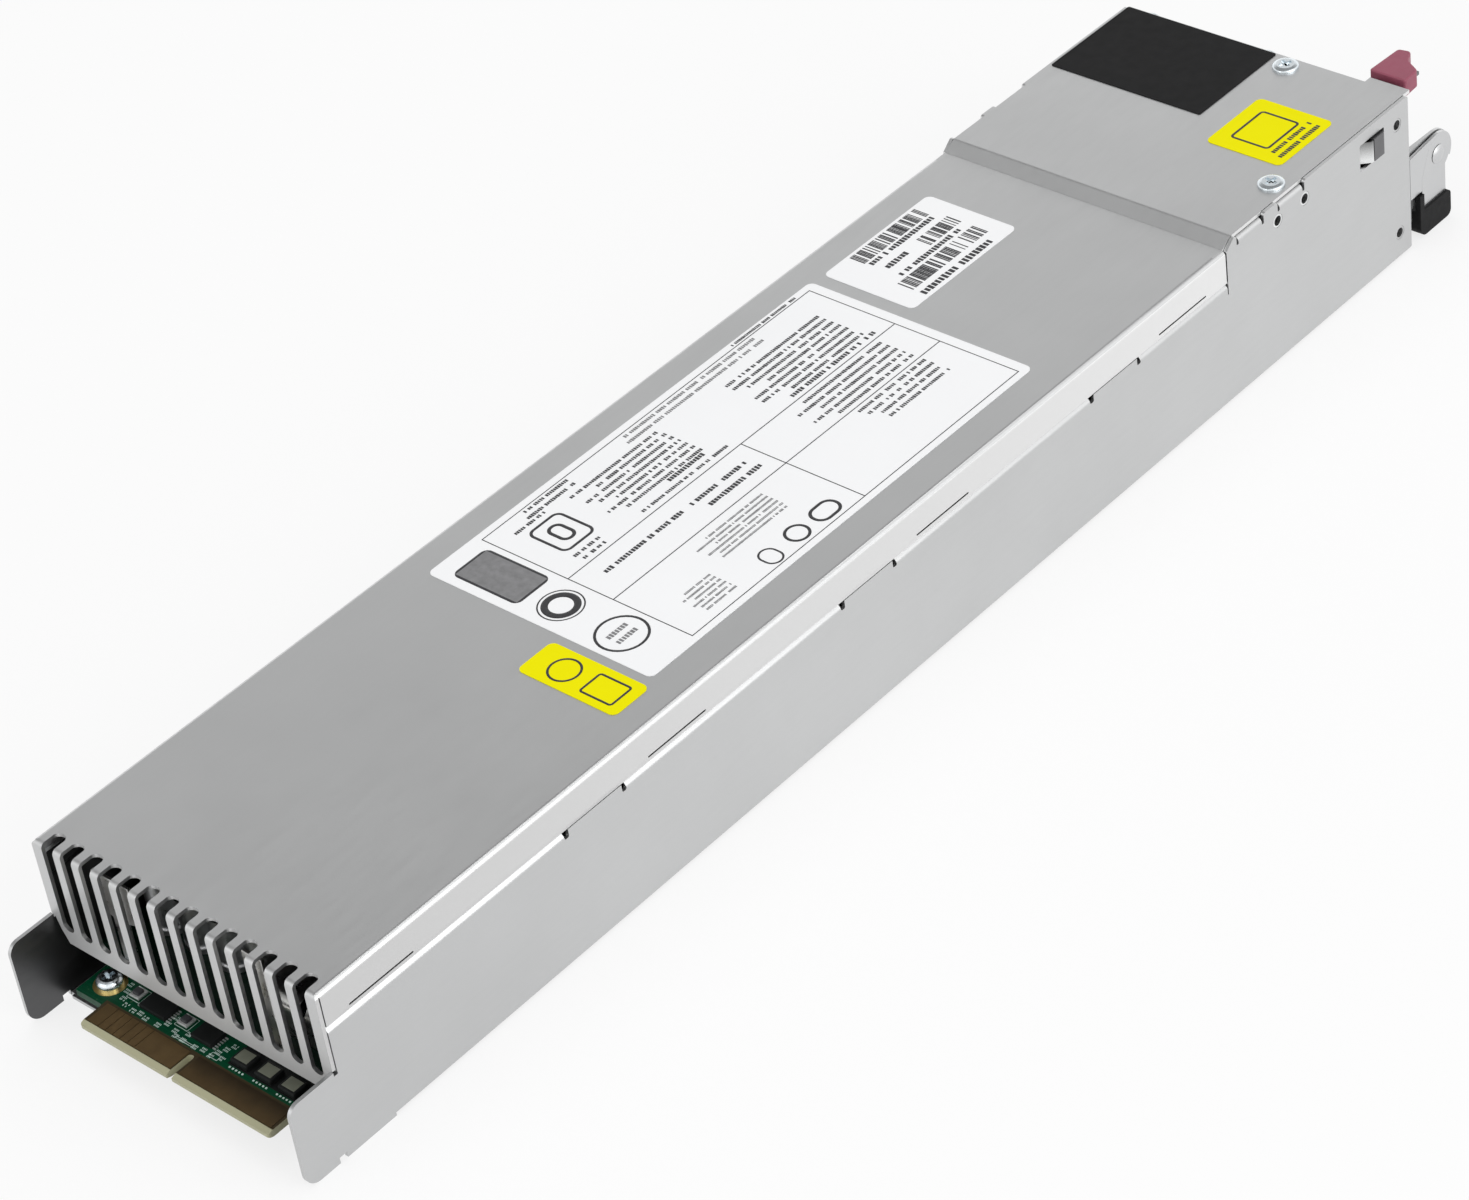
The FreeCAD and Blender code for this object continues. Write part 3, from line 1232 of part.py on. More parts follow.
def resonant_choke():
    body = block(RESONANT_X, RESONANT_Y + RESONANT_SIZE / 2, RESONANT_SIZE, RESONANT_SIZE, RESONANT_H, 2)
    waist_z = DECK_Z + RESONANT_H / 4
    y = FRONT + RESONANT_Y
    hollow = box(RESONANT_X - CASE_W, RESONANT_X - RESONANT_SIZE / 2 + 2, y, y + RESONANT_SIZE, waist_z, waist_z + RESONANT_H / 2)
    return body.cut(hollow)


def primary_transistors():
    """Upright transistors against the back of the primary sink."""
    x = PRIMARY_SINK_X - PRIMARY_SINK_W / 2 - FIT - DEVICE_T / 2
    pitch = PRIMARY_SINK_L / DEVICE_COUNT
    devices = []
    for i in range(DEVICE_COUNT):
        y = PRIMARY_SINK_Y + (i + 0.5) * pitch
        devices.append(block(x, y, DEVICE_T, DEVICE_W, DEVICE_H))
    return devices


def control_board():
    y = CONTROL_Y + CONTROL_L / 2
    return block(CONTROL_X, y, CONTROL_T, CONTROL_L, CONTROL_H)


def standby_transformer():
    return block(STANDBY_X, STANDBY_Y, STANDBY_W, STANDBY_L, STANDBY_H, 1.5)


def bulk_capacitors():
    """Two large cans that lie along the case, on the board."""
    z = DECK_Z + BULK_R
    cans = []
    for x in (BULK_X, -BULK_X):
        y0 = FRONT + BULK_Y
        body = rod("y", x, z, y0, y0 + BULK_L, BULK_R)
        groove = Part.makeTorus(BULK_R + 0.4, 1.0, V(x, y0 + BULK_L - 4, z), V(0, 1, 0))
        cans.append(body.cut(groove))
    return cans


def ring_core(x, y):
    """A ring core that lies flat, held off the board by its winding."""
    low = DECK_Z + WIRE_BUILD
    outer = rod("z", x, FRONT + y, low, low + RING_CORE_H, RING_CORE_OUT)
    return outer.cut(rod("z", x, FRONT + y, low - 1, low + RING_CORE_H + 1, RING_CORE_IN))


def ring_winding(x, y, gap_angle):
    """Winding round a ring core, in two halves with a gap between them."""
    y0 = FRONT + y
    top = DECK_Z + RING_CORE_H + 2 * WIRE_BUILD
    outer = rod("z", x, y0, DECK_Z, top, RING_CORE_OUT + WIRE_BUILD)
    rims = [edge for edge in outer.Edges if isinstance(edge.Curve, Part.Circle)]
    outer = outer.makeFillet(WIRE_BUILD * 0.8, rims)
    bore = rod("z", x, y0, DECK_Z - 1, top + 1, RING_CORE_IN - WIRE_BUILD)
    low = DECK_Z + WIRE_BUILD - COIL_GAP
    core = rod("z", x, y0, low, low + RING_CORE_H + 2 * COIL_GAP, RING_CORE_OUT + COIL_GAP)
    core = core.cut(rod("z", x, y0, low - 1, top, RING_CORE_IN - COIL_GAP))
    half = RING_CORE_OUT * math.sin(math.radians(gap_angle) / 2)
    reach = RING_CORE_OUT + 2 * WIRE_BUILD
    gap = box(x - half, x + half, y0 - reach, y0 + reach, DECK_Z - 1, top + 1)
    wound = outer.cut(Part.makeCompound([bore, core, gap]))
    return wound.Solids


def bridge_rectifier():
    return block(BRIDGE_X, BRIDGE_Y, BRIDGE_W, BRIDGE_T, BRIDGE_H, 0.6)


def line_capacitor():
    return block(LINE_CAP_X, LINE_CAP_Y, LINE_CAP_W, LINE_CAP_T, LINE_CAP_H, 1)


def line_relay():
    return block(RELAY_X, RELAY_Y, RELAY_W, RELAY_L, RELAY_H, 1)


def line_fuse():
    z = DECK_Z + FUSE_R
    return rod("x", FRONT + FUSE_Y, z, FUSE_X - FUSE_L / 2, FUSE_X + FUSE_L / 2, FUSE_R)


def fan_header():
    body = block(HEADER_X, HEADER_Y, HEADER_W, HEADER_L, HEADER_H)
    y = FRONT + HEADER_Y
    pocket = box(HEADER_X - HEADER_W / 2 + 1, HEADER_X + HEADER_W / 2 - 1, y - HEADER_L / 2 + 1, y + HEADER_L / 2 - 1, DECK_Z + 1.5, DECK_Z + HEADER_H + 1)
    return body.cut(pocket)


def sticker(left, right, front, length, top, thickness=STICKER_T, radius=STICKER_R):
    """A flat sticker on a face of height top."""
    return prism(rounded(left, right, front, front + length, radius), "z", top, top + thickness)


def stickers():
    """Each sticker's node and solid; the places are read from the photograph."""
    rating = sticker(RATING_LEFT, RATING_RIGHT, FRONT + RATING_FRONT, RATING_L, MAIN_H)
    serial = sticker(SERIAL_LEFT, SERIAL_RIGHT, FRONT + SERIAL_FRONT, SERIAL_L, MAIN_H)
    strip = sticker(STRIP_LEFT, STRIP_RIGHT, FRONT + STRIP_FRONT, STRIP_L, MAIN_H)
    square = sticker(SQUARE_LEFT, SQUARE_RIGHT, REAR - SQUARE_INSET - SQUARE_L, SQUARE_L, REAR_H)
    film_l = FAN_FILM_FRONT - FAN_FILM_BACK
    film = sticker(-PANEL_X, FAN_FILM_RIGHT, REAR - FAN_FILM_FRONT, film_l, REAR_H, FAN_FILM_T, BEND)
    return {
        "rating_label": [rating],
        "serial_label": [serial],
        "yellow_strip": [strip],
        "yellow_square": [square],
        "fan_film": [film],
    }


def main():
    os.makedirs("parts", exist_ok=True)
    bail = handle_bail()
    arm = latch_arm()
    nodes = {
        "chassis_tray": [chassis_tray()],
        "top_cover": [top_cover()],
        "cover_screws": cover_screws(),
        "rear_panel": [rear_panel()],
        "handle_brackets": both_sides([handle_bracket()]),
        "handle_bail": [bail],
        "handle_grip": [handle_grip(bail)],
        "handle_rivets": both_sides([handle_rivet()]),
        "latch_foot": [latch_foot()],
        "latch_arm": [arm],
        "latch_catch": [latch_catch()],
        "latch_tab": [latch_tab(arm)],
        "fan_frame": [fan_frame()],
        "fan_rotor": [fan_rotor()],
        "fan_shaft": [fan_shaft()],
        "fan_bearing": [fan_bearing()],
        "fan_stator": [fan_stator()],
        "fan_guard": [fan_guard()],
        "fan_screws": fan_screws(),
        "inlet_body": [inlet_body()],
        "inlet_pins": [pin(x, z) for x, z in pin_spots()],
        "status_lamp": [status_lamp()],
        "main_board": [main_board()],
        "edge_contacts": edge_contacts(),
        "insulating_sheet": [insulating_sheet()],
        "board_standoffs": board_standoffs(),
        "board_screws": board_screws(),
        "logic_chips": logic_chips(),
        "filter_coils": filter_coils(),
        "output_transistors": output_transistors(),
        "output_capacitors": output_capacitors(),
        "output_bars": output_bars(),
        "secondary_heatsink": [secondary_heatsink()],
        "transformer_core": [transformer_core()],
        "transformer_winding": [transformer_winding()],
        "resonant_choke": [resonant_choke()],
        "primary_heatsink": [primary_heatsink()],
        "primary_transistors": primary_transistors(),
        "control_board": [control_board()],
        "standby_transformer": [standby_transformer()],
        "bulk_capacitors": bulk_capacitors(),
        "boost_core": [ring_core(BOOST_X, BOOST_Y)],
        "boost_winding": ring_winding(BOOST_X, BOOST_Y, 24),
        "bridge_rectifier": [bridge_rectifier()],
        "line_choke_core": [ring_core(LINE_CHOKE_X, LINE_CHOKE_Y)],
        "line_choke_winding": ring_winding(LINE_CHOKE_X, LINE_CHOKE_Y, 40),
        "line_capacitor": [line_capacitor()],
        "line_relay": [line_relay()],
        "line_fuse": [line_fuse()],
        "fan_header": [fan_header()],
    }
    nodes.update(stickers())
    for node, shapes in nodes.items():
        save(node, shapes)
        solids = sum(len(shape.Solids) for shape in shapes)
        volume = sum(shape.Volume for shape in shapes)
        print(f"{node}: {solids} solids, {volume:.1f} mm3, valid {all(shape.isValid() for shape in shapes)}")


if __name__ == "__main__":
    main()
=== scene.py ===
"""Finishes, prints and lights a hot swap server power supply on a plain studio floor."""

import json
import math

import bmesh
import bpy
from bpy.props import FloatProperty, FloatVectorProperty, IntProperty, PointerProperty
from mathutils import Matrix, Vector


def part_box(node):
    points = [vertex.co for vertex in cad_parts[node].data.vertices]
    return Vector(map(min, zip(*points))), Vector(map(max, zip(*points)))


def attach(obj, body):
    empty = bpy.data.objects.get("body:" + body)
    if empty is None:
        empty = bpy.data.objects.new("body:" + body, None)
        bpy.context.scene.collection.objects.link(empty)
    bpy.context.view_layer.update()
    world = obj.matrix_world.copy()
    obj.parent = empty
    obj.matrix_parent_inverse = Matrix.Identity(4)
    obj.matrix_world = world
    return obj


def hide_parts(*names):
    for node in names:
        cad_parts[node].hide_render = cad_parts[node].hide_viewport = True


bl_info = {
    "name": "Server Power Supply Finisher",
    "version": (1, 0, 0),
    "blender": (4, 5, 0),
    "location": "3D View > Sidebar > Power Supply",
    "description": "Finishes, prints and lights a hot swap server power supply",
    "category": "Object",
}

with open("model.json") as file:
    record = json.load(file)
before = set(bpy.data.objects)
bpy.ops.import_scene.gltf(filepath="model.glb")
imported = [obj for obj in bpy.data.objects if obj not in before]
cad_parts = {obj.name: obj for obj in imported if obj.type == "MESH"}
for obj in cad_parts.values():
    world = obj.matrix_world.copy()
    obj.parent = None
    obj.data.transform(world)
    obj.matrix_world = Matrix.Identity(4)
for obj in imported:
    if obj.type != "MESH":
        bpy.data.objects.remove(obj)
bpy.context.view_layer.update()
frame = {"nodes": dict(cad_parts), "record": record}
NODES = frame["nodes"]
MM = 0.001

# Places that finishes and pieces share, in metres
CARD_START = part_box("edge_contacts")[1].y + 0.6 * MM    # the card stands free before this
CARD_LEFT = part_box("edge_contacts")[0].x - 0.8 * MM
KEY_X = 1.9 * MM                                        # key slot in the card
COVER_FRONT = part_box("top_cover")[0].y
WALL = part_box("chassis_tray")[1].x                      # outer face of the side wall
CATCH_LOW, CATCH_TOP = (corner.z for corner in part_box("latch_catch"))

# Slots of the vent, in metres
SLOT_PITCH = 5.15 * MM
SLOT_HALF = 1.32 * MM        # half a slot of the solid, and a little more
SLOT_REACH = 4.2 * MM        # from the lip to past the slots' ends on the top
SLOT_LOW = 17.0 * MM
SLOT_SPREAD = 3.1 / 2.6      # shown width over the solid's
SLOT_LONGER = 0.5 * MM

# Arms of the pull handle, in millimetres: y and z, but for the thickness and the inset
PIVOT = (180.0, 18.0)
EYE_R = 5.3
RIVET_ROOM_R = 3.2
ARM_Y = (169.2, 176.0)
ARM_Z = (11.7, 22.3)
ARM_T = 0.76
ARM_INSET = 0.78             # inner face of an arm, from the bail's outer face

# Contact pads of the card, in millimetres
PAD_T = 0.1
PAD_GAP = 0.07               # half the gap between two pads
FIRST_PAD = 3.0
PAD_PITCH = 2.0
PAD_COUNT = 5                # of the pads between the first and the last narrow one
NARROW_END = 1.0
WIDE_START = 3.2

# Greeked letters, as shares of a letter's size
LETTER_PITCH = 1.45
LETTER_LONG = 1.2

# Small parts behind the card, in millimetres: their middles
CHIPS = ((-12.4, 7.0), (1.0, 5.5))    # and widths
CHIP_Y = -167.0
COILS = (-18.6, -5.4)
COIL_Y = -166.6
TRANSISTORS = (11.7, 18.0, 24.2)
TRANSISTOR_Y = -167.6
FRONT_SCREW = (-25.5, -167.6)
MARKS = ((-22.0, -165.6), (-21.2, -167.2), (-20.4, -169.0), (-18.6, -169.9), (-16.4, -170.2),
         (-14.6, -169.9), (-12.8, -170.3), (-9.6, -170.2), (-8.2, -168.9), (-7.9, -166.9),
         (-5.6, -169.4), (-4.6, -170.3), (-2.7, -168.6), (-2.6, -170.3), (0.6, -170.3),
         (2.6, -169.9), (4.8, -170.3), (5.4, -168.8), (6.2, -167.4), (7.0, -166.0),
         (7.2, -169.6), (28.3, -170.3))
MARK_SEED = 5                # of the first mark
OUTLINES = ((COILS[0], COIL_Y, 3.5, 3.3), (COILS[1], COIL_Y, 3.5, 3.3),
            (-2.0, -170.4, 4.6, 0.4), (5.6, -169.9, 2.2, 1.2))
MARK_T = 0.03

# From the outer radius of a choke's core in to its turns, less the winding's build, in metres
BORE_REACH = 5.6 * MM

# Straps behind the vent, in millimetres
STRAP_Y = -164.4
STRAP_T = 0.8

# Floor
FLOOR_HALF = 6.0             # half its side, in metres
FLOOR_WHITE = 0.78           # share of plain white where it is seen

# Painted shade and painted reflection: colours that stand for what a face mirrors or is kept from
SHADED_STEEL = (0.11, 0.11, 0.112, 1.0)
# Painted shade towards the front of the case
SHADED_FRONT_STEEL = (0.33, 0.333, 0.34, 1.0)
SHADED_SPRING = (0.10, 0.10, 0.10, 1.0)
SHADED_BOARD = (0.001, 0.004, 0.003, 1.0)
SHADED_PAD = (0.022, 0.015, 0.008, 1.0)
# Own colours of the card's bare laminate, its copper runs and its vias
LAMINATE_EDGE = (0.44, 0.43, 0.285, 1.0)
LAMINATE_FACE = (0.050, 0.036, 0.017, 1.0)
TRACE_GREEN = (0.003, 0.085, 0.038, 1.0)
VIA_GREEN = (0.12, 0.18, 0.10, 1.0)


def colour_property(name, description, default):
    """A colour that a user can change."""
    return FloatVectorProperty(name=name, description=description, subtype="COLOR", size=3,
                               min=0.0, max=1.0, default=default)


def length_property(name, description, default):
    """A length in metres that a user can change."""
    return FloatProperty(name=name, description=description, default=default, min=0.0,
                         unit="LENGTH", precision=5)


class SupplyColours(bpy.types.PropertyGroup):
    """Colours of the finishes."""

    sheet: colour_property("Sheet steel", "Satin zinc-coated sheet of the case",
                           (0.585, 0.59, 0.592))
    spring: colour_property("Spring steel", "Bright leaf spring", (0.84, 0.85, 0.85))
    handle: colour_property("Handle steel", "Strip of the handle, and its rivets",
                            (0.60, 0.605, 0.61))
    zinc: colour_property("Zinc", "Bright zinc of the screws and the fan's guard",
                          (0.70, 0.75, 0.78))
    tab: colour_property("Latch tab", "Maroon plastic of the latch tab", (0.30, 0.070, 0.112))
    black: colour_property("Black plastic", "Grip and mains inlet", (0.007, 0.007, 0.0075))
    film: colour_property("Black film", "Film over the fan", (0.007, 0.007, 0.0075))
    label: colour_property("Label", "White label stock", (0.925, 0.93, 0.94))
    yellow: colour_property("Yellow sticker", "Yellow sticker stock", (0.86, 0.80, 0.001))
    ink: colour_property("Ink", "Print on the labels", (0.022, 0.022, 0.025))
    mask: colour_property("Solder mask", "Green of the board", (0.001, 0.050, 0.020))
    gold: colour_property("Contacts", "Gold flash on the card edge", (0.15, 0.095, 0.038))


class SupplyPrint(bpy.types.PropertyGroup):
    """Sizes of the print on the labels."""

    depth: length_property("Ink depth", "Thickness of the printed ink", 0.03 * MM)
    rule: length_property("Rule", "Width of a ruled line", 0.33 * MM)
    letter: length_property("Letter", "Length of one greeked letter", 0.42 * MM)
    seed: IntProperty(name="Seed", description="Seed of the greeked text", default=7, min=0)


class SupplyFasteners(bpy.types.PropertyGroup):
    """Sizes of the cross-recessed screws."""

    recess: FloatProperty(name="Recess", subtype="FACTOR", default=0.50, min=0.2, max=0.9,
                          description="Span of the cross recess, as a share of the head")
    recess_width: FloatProperty(name="Slot width", subtype="FACTOR", default=0.15, min=0.05,
                                max=0.4, description="Width of one slot, as a share of the head")
    seed: IntProperty(name="Seed", default=3, min=0,
                      description="Seed of the angle that each screw stopped at")


class SupplyWire(bpy.types.PropertyGroup):
    """Sizes of the wound chokes."""

    wire: length_property("Wire", "Diameter of the enamelled wire", 1.05 * MM)
    turns: IntProperty(name="Turns", description="Turns on each half of a ring", default=14,
                       min=3, max=40)


class SupplyStudio(bpy.types.PropertyGroup):
    """Camera and lamps."""

    camera_place: FloatVectorProperty(name="Camera place", description="Where the camera stands",
                                      subtype="TRANSLATION", unit="LENGTH", size=3,
                                      default=(0.49916, -0.4927, 0.54419))
    camera_turn: FloatVectorProperty(name="Camera turn", description="Which way the camera faces",
                                     subtype="EULER", unit="ROTATION", size=3,
                                     default=(0.90501, 0.12022, 0.71612))
    lens: FloatProperty(name="Lens", description="Focal length on a 36 mm sensor", default=105.61,
                        min=10.0, unit="CAMERA")
    key: FloatProperty(name="Key", description="Power of the soft lamp beside the right wall",
                       default=7.0, min=0.0, unit="POWER")
    fill: FloatProperty(name="Fill", description="Power of the soft lamp before the card edge",
                        default=2.5, min=0.0, unit="POWER")
    top: FloatProperty(name="Top", description="Power of the soft lamp overhead", default=5.0,
                       min=0.0, unit="POWER")
    sky: FloatProperty(name="Sky", description="Light that the room gives to matt surfaces",
                       default=0.62, min=0.0)


class Graph:
    """Short calls that add and wire the nodes of one tree."""

    def __init__(self, tree):
        self.tree = tree

    def add(self, kind, inputs=None, **settings):
        """Adds a node, sets it up and feeds its inputs with values or with other nodes' sockets."""
        node = self.tree.nodes.new(kind)
        for key, value in settings.items():
            setattr(node, key, value)
        for key, value in (inputs or {}).items():
            self.feed(node.inputs[key], value)
        return node

    def feed(self, socket, value):
        """Links a socket, or sets its value."""
        if isinstance(value, bpy.types.NodeSocket):
            self.tree.links.new(value, socket)
        else:
            socket.default_value = value

    def math(self, operation, a, b=0.0, c=0.0):
        """One sum on numbers."""
        return self.add("ShaderNodeMath", {0: a, 1: b, 2: c}, operation=operation).outputs[0]

    def times(self, a, b):
        """The product of two numbers."""
        return self.math("MULTIPLY", a, b)

    def vector(self, x=0.0, y=0.0, z=0.0):
        """A vector from three numbers."""
        return self.add("ShaderNodeCombineXYZ", {0: x, 1: y, 2: z}).outputs[0]

    def span(self, value, low, high, new_low, new_high):
        """A number carried from one range to another."""
        return self.add("ShaderNodeMapRange", {0: value, 1: low, 2: high, 3: new_low,
                                               4: new_high}).outputs[0]

    def blend(self, factor, a, b):
        """A colour between two colours."""
        return self.add("ShaderNodeMix", {0: factor, 6: a, 7: b}, data_type="RGBA").outputs[2]


def emptied(holder):
    """The graph of a material or a world, without the nodes that it starts with."""
    holder.use_nodes = True
    holder.node_tree.nodes.clear()
    return Graph(holder.node_tree)


# Finishes

def tone(colour, share):
    """A colour made lighter or darker by a share."""
    return tuple(min(1.0, channel * share) for channel in colour) + (1.0,)


def grain(graph, scale, detail=4.0, stretch=(1.0, 1.0, 1.0), roughness=0.55):
    """Noise in the piece's own space, at so many specks a metre."""
    place = graph.add("ShaderNodeTexCoord").outputs["Object"]
    place = graph.add("ShaderNodeMapping", {"Vector": place, "Scale": stretch}).outputs[0]
    noise = graph.add("ShaderNodeTexNoise", {"Vector": place, "Scale": scale, "Detail": detail,
                                             "Roughness": roughness})
    return noise.outputs[0]


def finish(name, colour, roughness, metallic=0.0, mottle=(45.0, 0.05), polish=(420.0, 0.07),
           relief=(2600.0, 0.02), stretch=(1.0, 1.0, 1.0), sockets=None, pattern=None):
    """A surface with soft mottling, uneven polish and a fine relief, worked out on the piece."""
    made = bpy.data.materials.new(name)
    graph = emptied(made)
    cloud = graph.span(grain(graph, mottle[0], 3.0), 0.3, 0.7, 0.0, 1.0)
    paint = graph.blend(cloud, tone(colour, 1.0 - mottle[1]), tone(colour, 1.0 + mottle[1]))
    if pattern:
        paint = pattern(graph, paint)
    rub = graph.span(grain(graph, polish[0], 5.0, stretch), 0.3, 0.7,
                     roughness - polish[1], roughness + polish[1])
    bump = graph.add("ShaderNodeBump", {"Height": grain(graph, relief[0], 3.0, stretch),
                                        "Strength": 0.35, "Distance": relief[1] * MM})
    extra = {key: value(graph) if callable(value) else value
             for key, value in (sockets or {}).items()}
    shader = graph.add("ShaderNodeBsdfPrincipled", {
        "Base Color": paint, "Roughness": rub, "Metallic": metallic, "Normal": bump.outputs[0],
        **extra})
    graph.add("ShaderNodeOutputMaterial", {0: shader.outputs[0]})
    return made


def facing(graph):
    """The place and the facing of the surface, each as its three numbers."""
    coords = graph.add("ShaderNodeTexCoord").outputs
    return [graph.add("ShaderNodeSeparateXYZ", {0: coords[key]}).outputs
            for key in ("Object", "Normal")]


def inner_shade(graph, paint):
    """Painted shade: darkens the inner faces of the case, which face each other and the board, and
    paints its front a little darker.
    """
    place, normal = facing(graph)
    # Painted shade, a little darker towards the front of the case
    front = graph.span(place[1], -0.17, -0.03, 0.20, 0.0)
    paint = graph.blend(front, paint, SHADED_FRONT_STEEL)
    inward = graph.math("LESS_THAN", graph.times(place[0], normal[0]), -0.5 * WALL)
    under = graph.math("LESS_THAN", normal[2], -0.5)
    return graph.blend(graph.math("MAXIMUM", inward, under), paint, SHADED_STEEL)


def cover_shade(graph, paint):
    """Painted highlight: the cover's side flanges are painted lighter towards the rear, where they
    catch more light, and painted shade keeps its inside dark.
    """
    place, normal = facing(graph)
    outward = graph.math("GREATER_THAN", graph.times(place[0], normal[0]), 0.9 * WALL)
    bright = graph.span(place[1], COVER_FRONT, COVER_FRONT + 0.26, 0.61, 0.84)
    lit = graph.blend(outward, paint, graph.vector(bright, bright, bright))
    # Painted shade on the cover's underside and the inner side of its lip
    under = graph.math("LESS_THAN", normal[2], -0.5)
    inside = graph.math("MAXIMUM", under, graph.math("GREATER_THAN", normal[1], 0.5))
    return graph.blend(inside, lit, SHADED_STEEL)


def front_metal(graph):
    """Less mirror-like on the vented lip, which would otherwise mirror the card."""
    normal = facing(graph)[1]
    return graph.span(normal[1], -0.9, -0.3, 0.30, 0.92)


def board_traces(graph, paint):
    """Copper runs that show as a lighter green under the solder mask."""
    place = graph.add("ShaderNodeTexCoord").outputs["Object"]
    runs = graph.add("ShaderNodeTexBrick", {
        "Vector": place, "Scale": 420.0, "Mortar Size": 0.06, "Mortar Smooth": 0.2,
        "Brick Width": 1.7, "Row Height": 0.38}, offset=0.37, squash=1.6, squash_frequency=3)
    spots = graph.add("ShaderNodeTexVoronoi", {"Vector": place, "Scale": 520.0},
                      distance="EUCLIDEAN")
    vias = graph.math("LESS_THAN", spots.outputs["Distance"], 0.13)
    traced = graph.blend(graph.times(runs.outputs["Fac"], 0.35), paint, TRACE_GREEN)
    return graph.blend(graph.times(vias, 0.3), traced, VIA_GREEN)


def board_edge(graph, paint):
    """Bare glass-fibre laminate on the card, and green elsewhere, with painted shade that darkens
    the green further in.
    """
    place, normal = facing(graph)
    out = graph.math("LESS_THAN", place[1], CARD_START)
    bare = graph.times(out, graph.math("GREATER_THAN", place[0], CARD_LEFT))
    # Painted shade on the board further in
    shade = graph.span(place[1], CARD_START + 6.0 * MM, CARD_START + 9.0 * MM, 0.0, 0.8)
    paint = graph.blend(shade, board_traces(graph, paint), SHADED_BOARD)
    flat = graph.math("GREATER_THAN", graph.math("ABSOLUTE", normal[2]), 0.97)
    laminate = graph.blend(flat, LAMINATE_EDGE, LAMINATE_FACE)
    return graph.blend(bare, paint, laminate)


def pad_shade(graph, paint):
    """Painted reflection: the wide power pad is painted darker near the board, as if it mirrored
    the lip above it.
    """
    place = facing(graph)[0]
    near = graph.span(place[1], CARD_START - 5.4 * MM, CARD_START - 0.6 * MM, 0.25, 0.85)
    wide = graph.math("GREATER_THAN", place[0], KEY_X)
    return graph.blend(graph.times(near, wide), paint, SHADED_PAD)


def catch_shade(graph, paint):
    """Painted shade: the leaf spring is painted bright low in the wall's window and darker towards
    its upper edge.
    """
    place = facing(graph)[0]
    dark = graph.span(place[2], CATCH_LOW + 1.0 * MM, CATCH_TOP, 0.0, 0.85)
    return graph.blend(dark, paint, SHADED_SPRING)


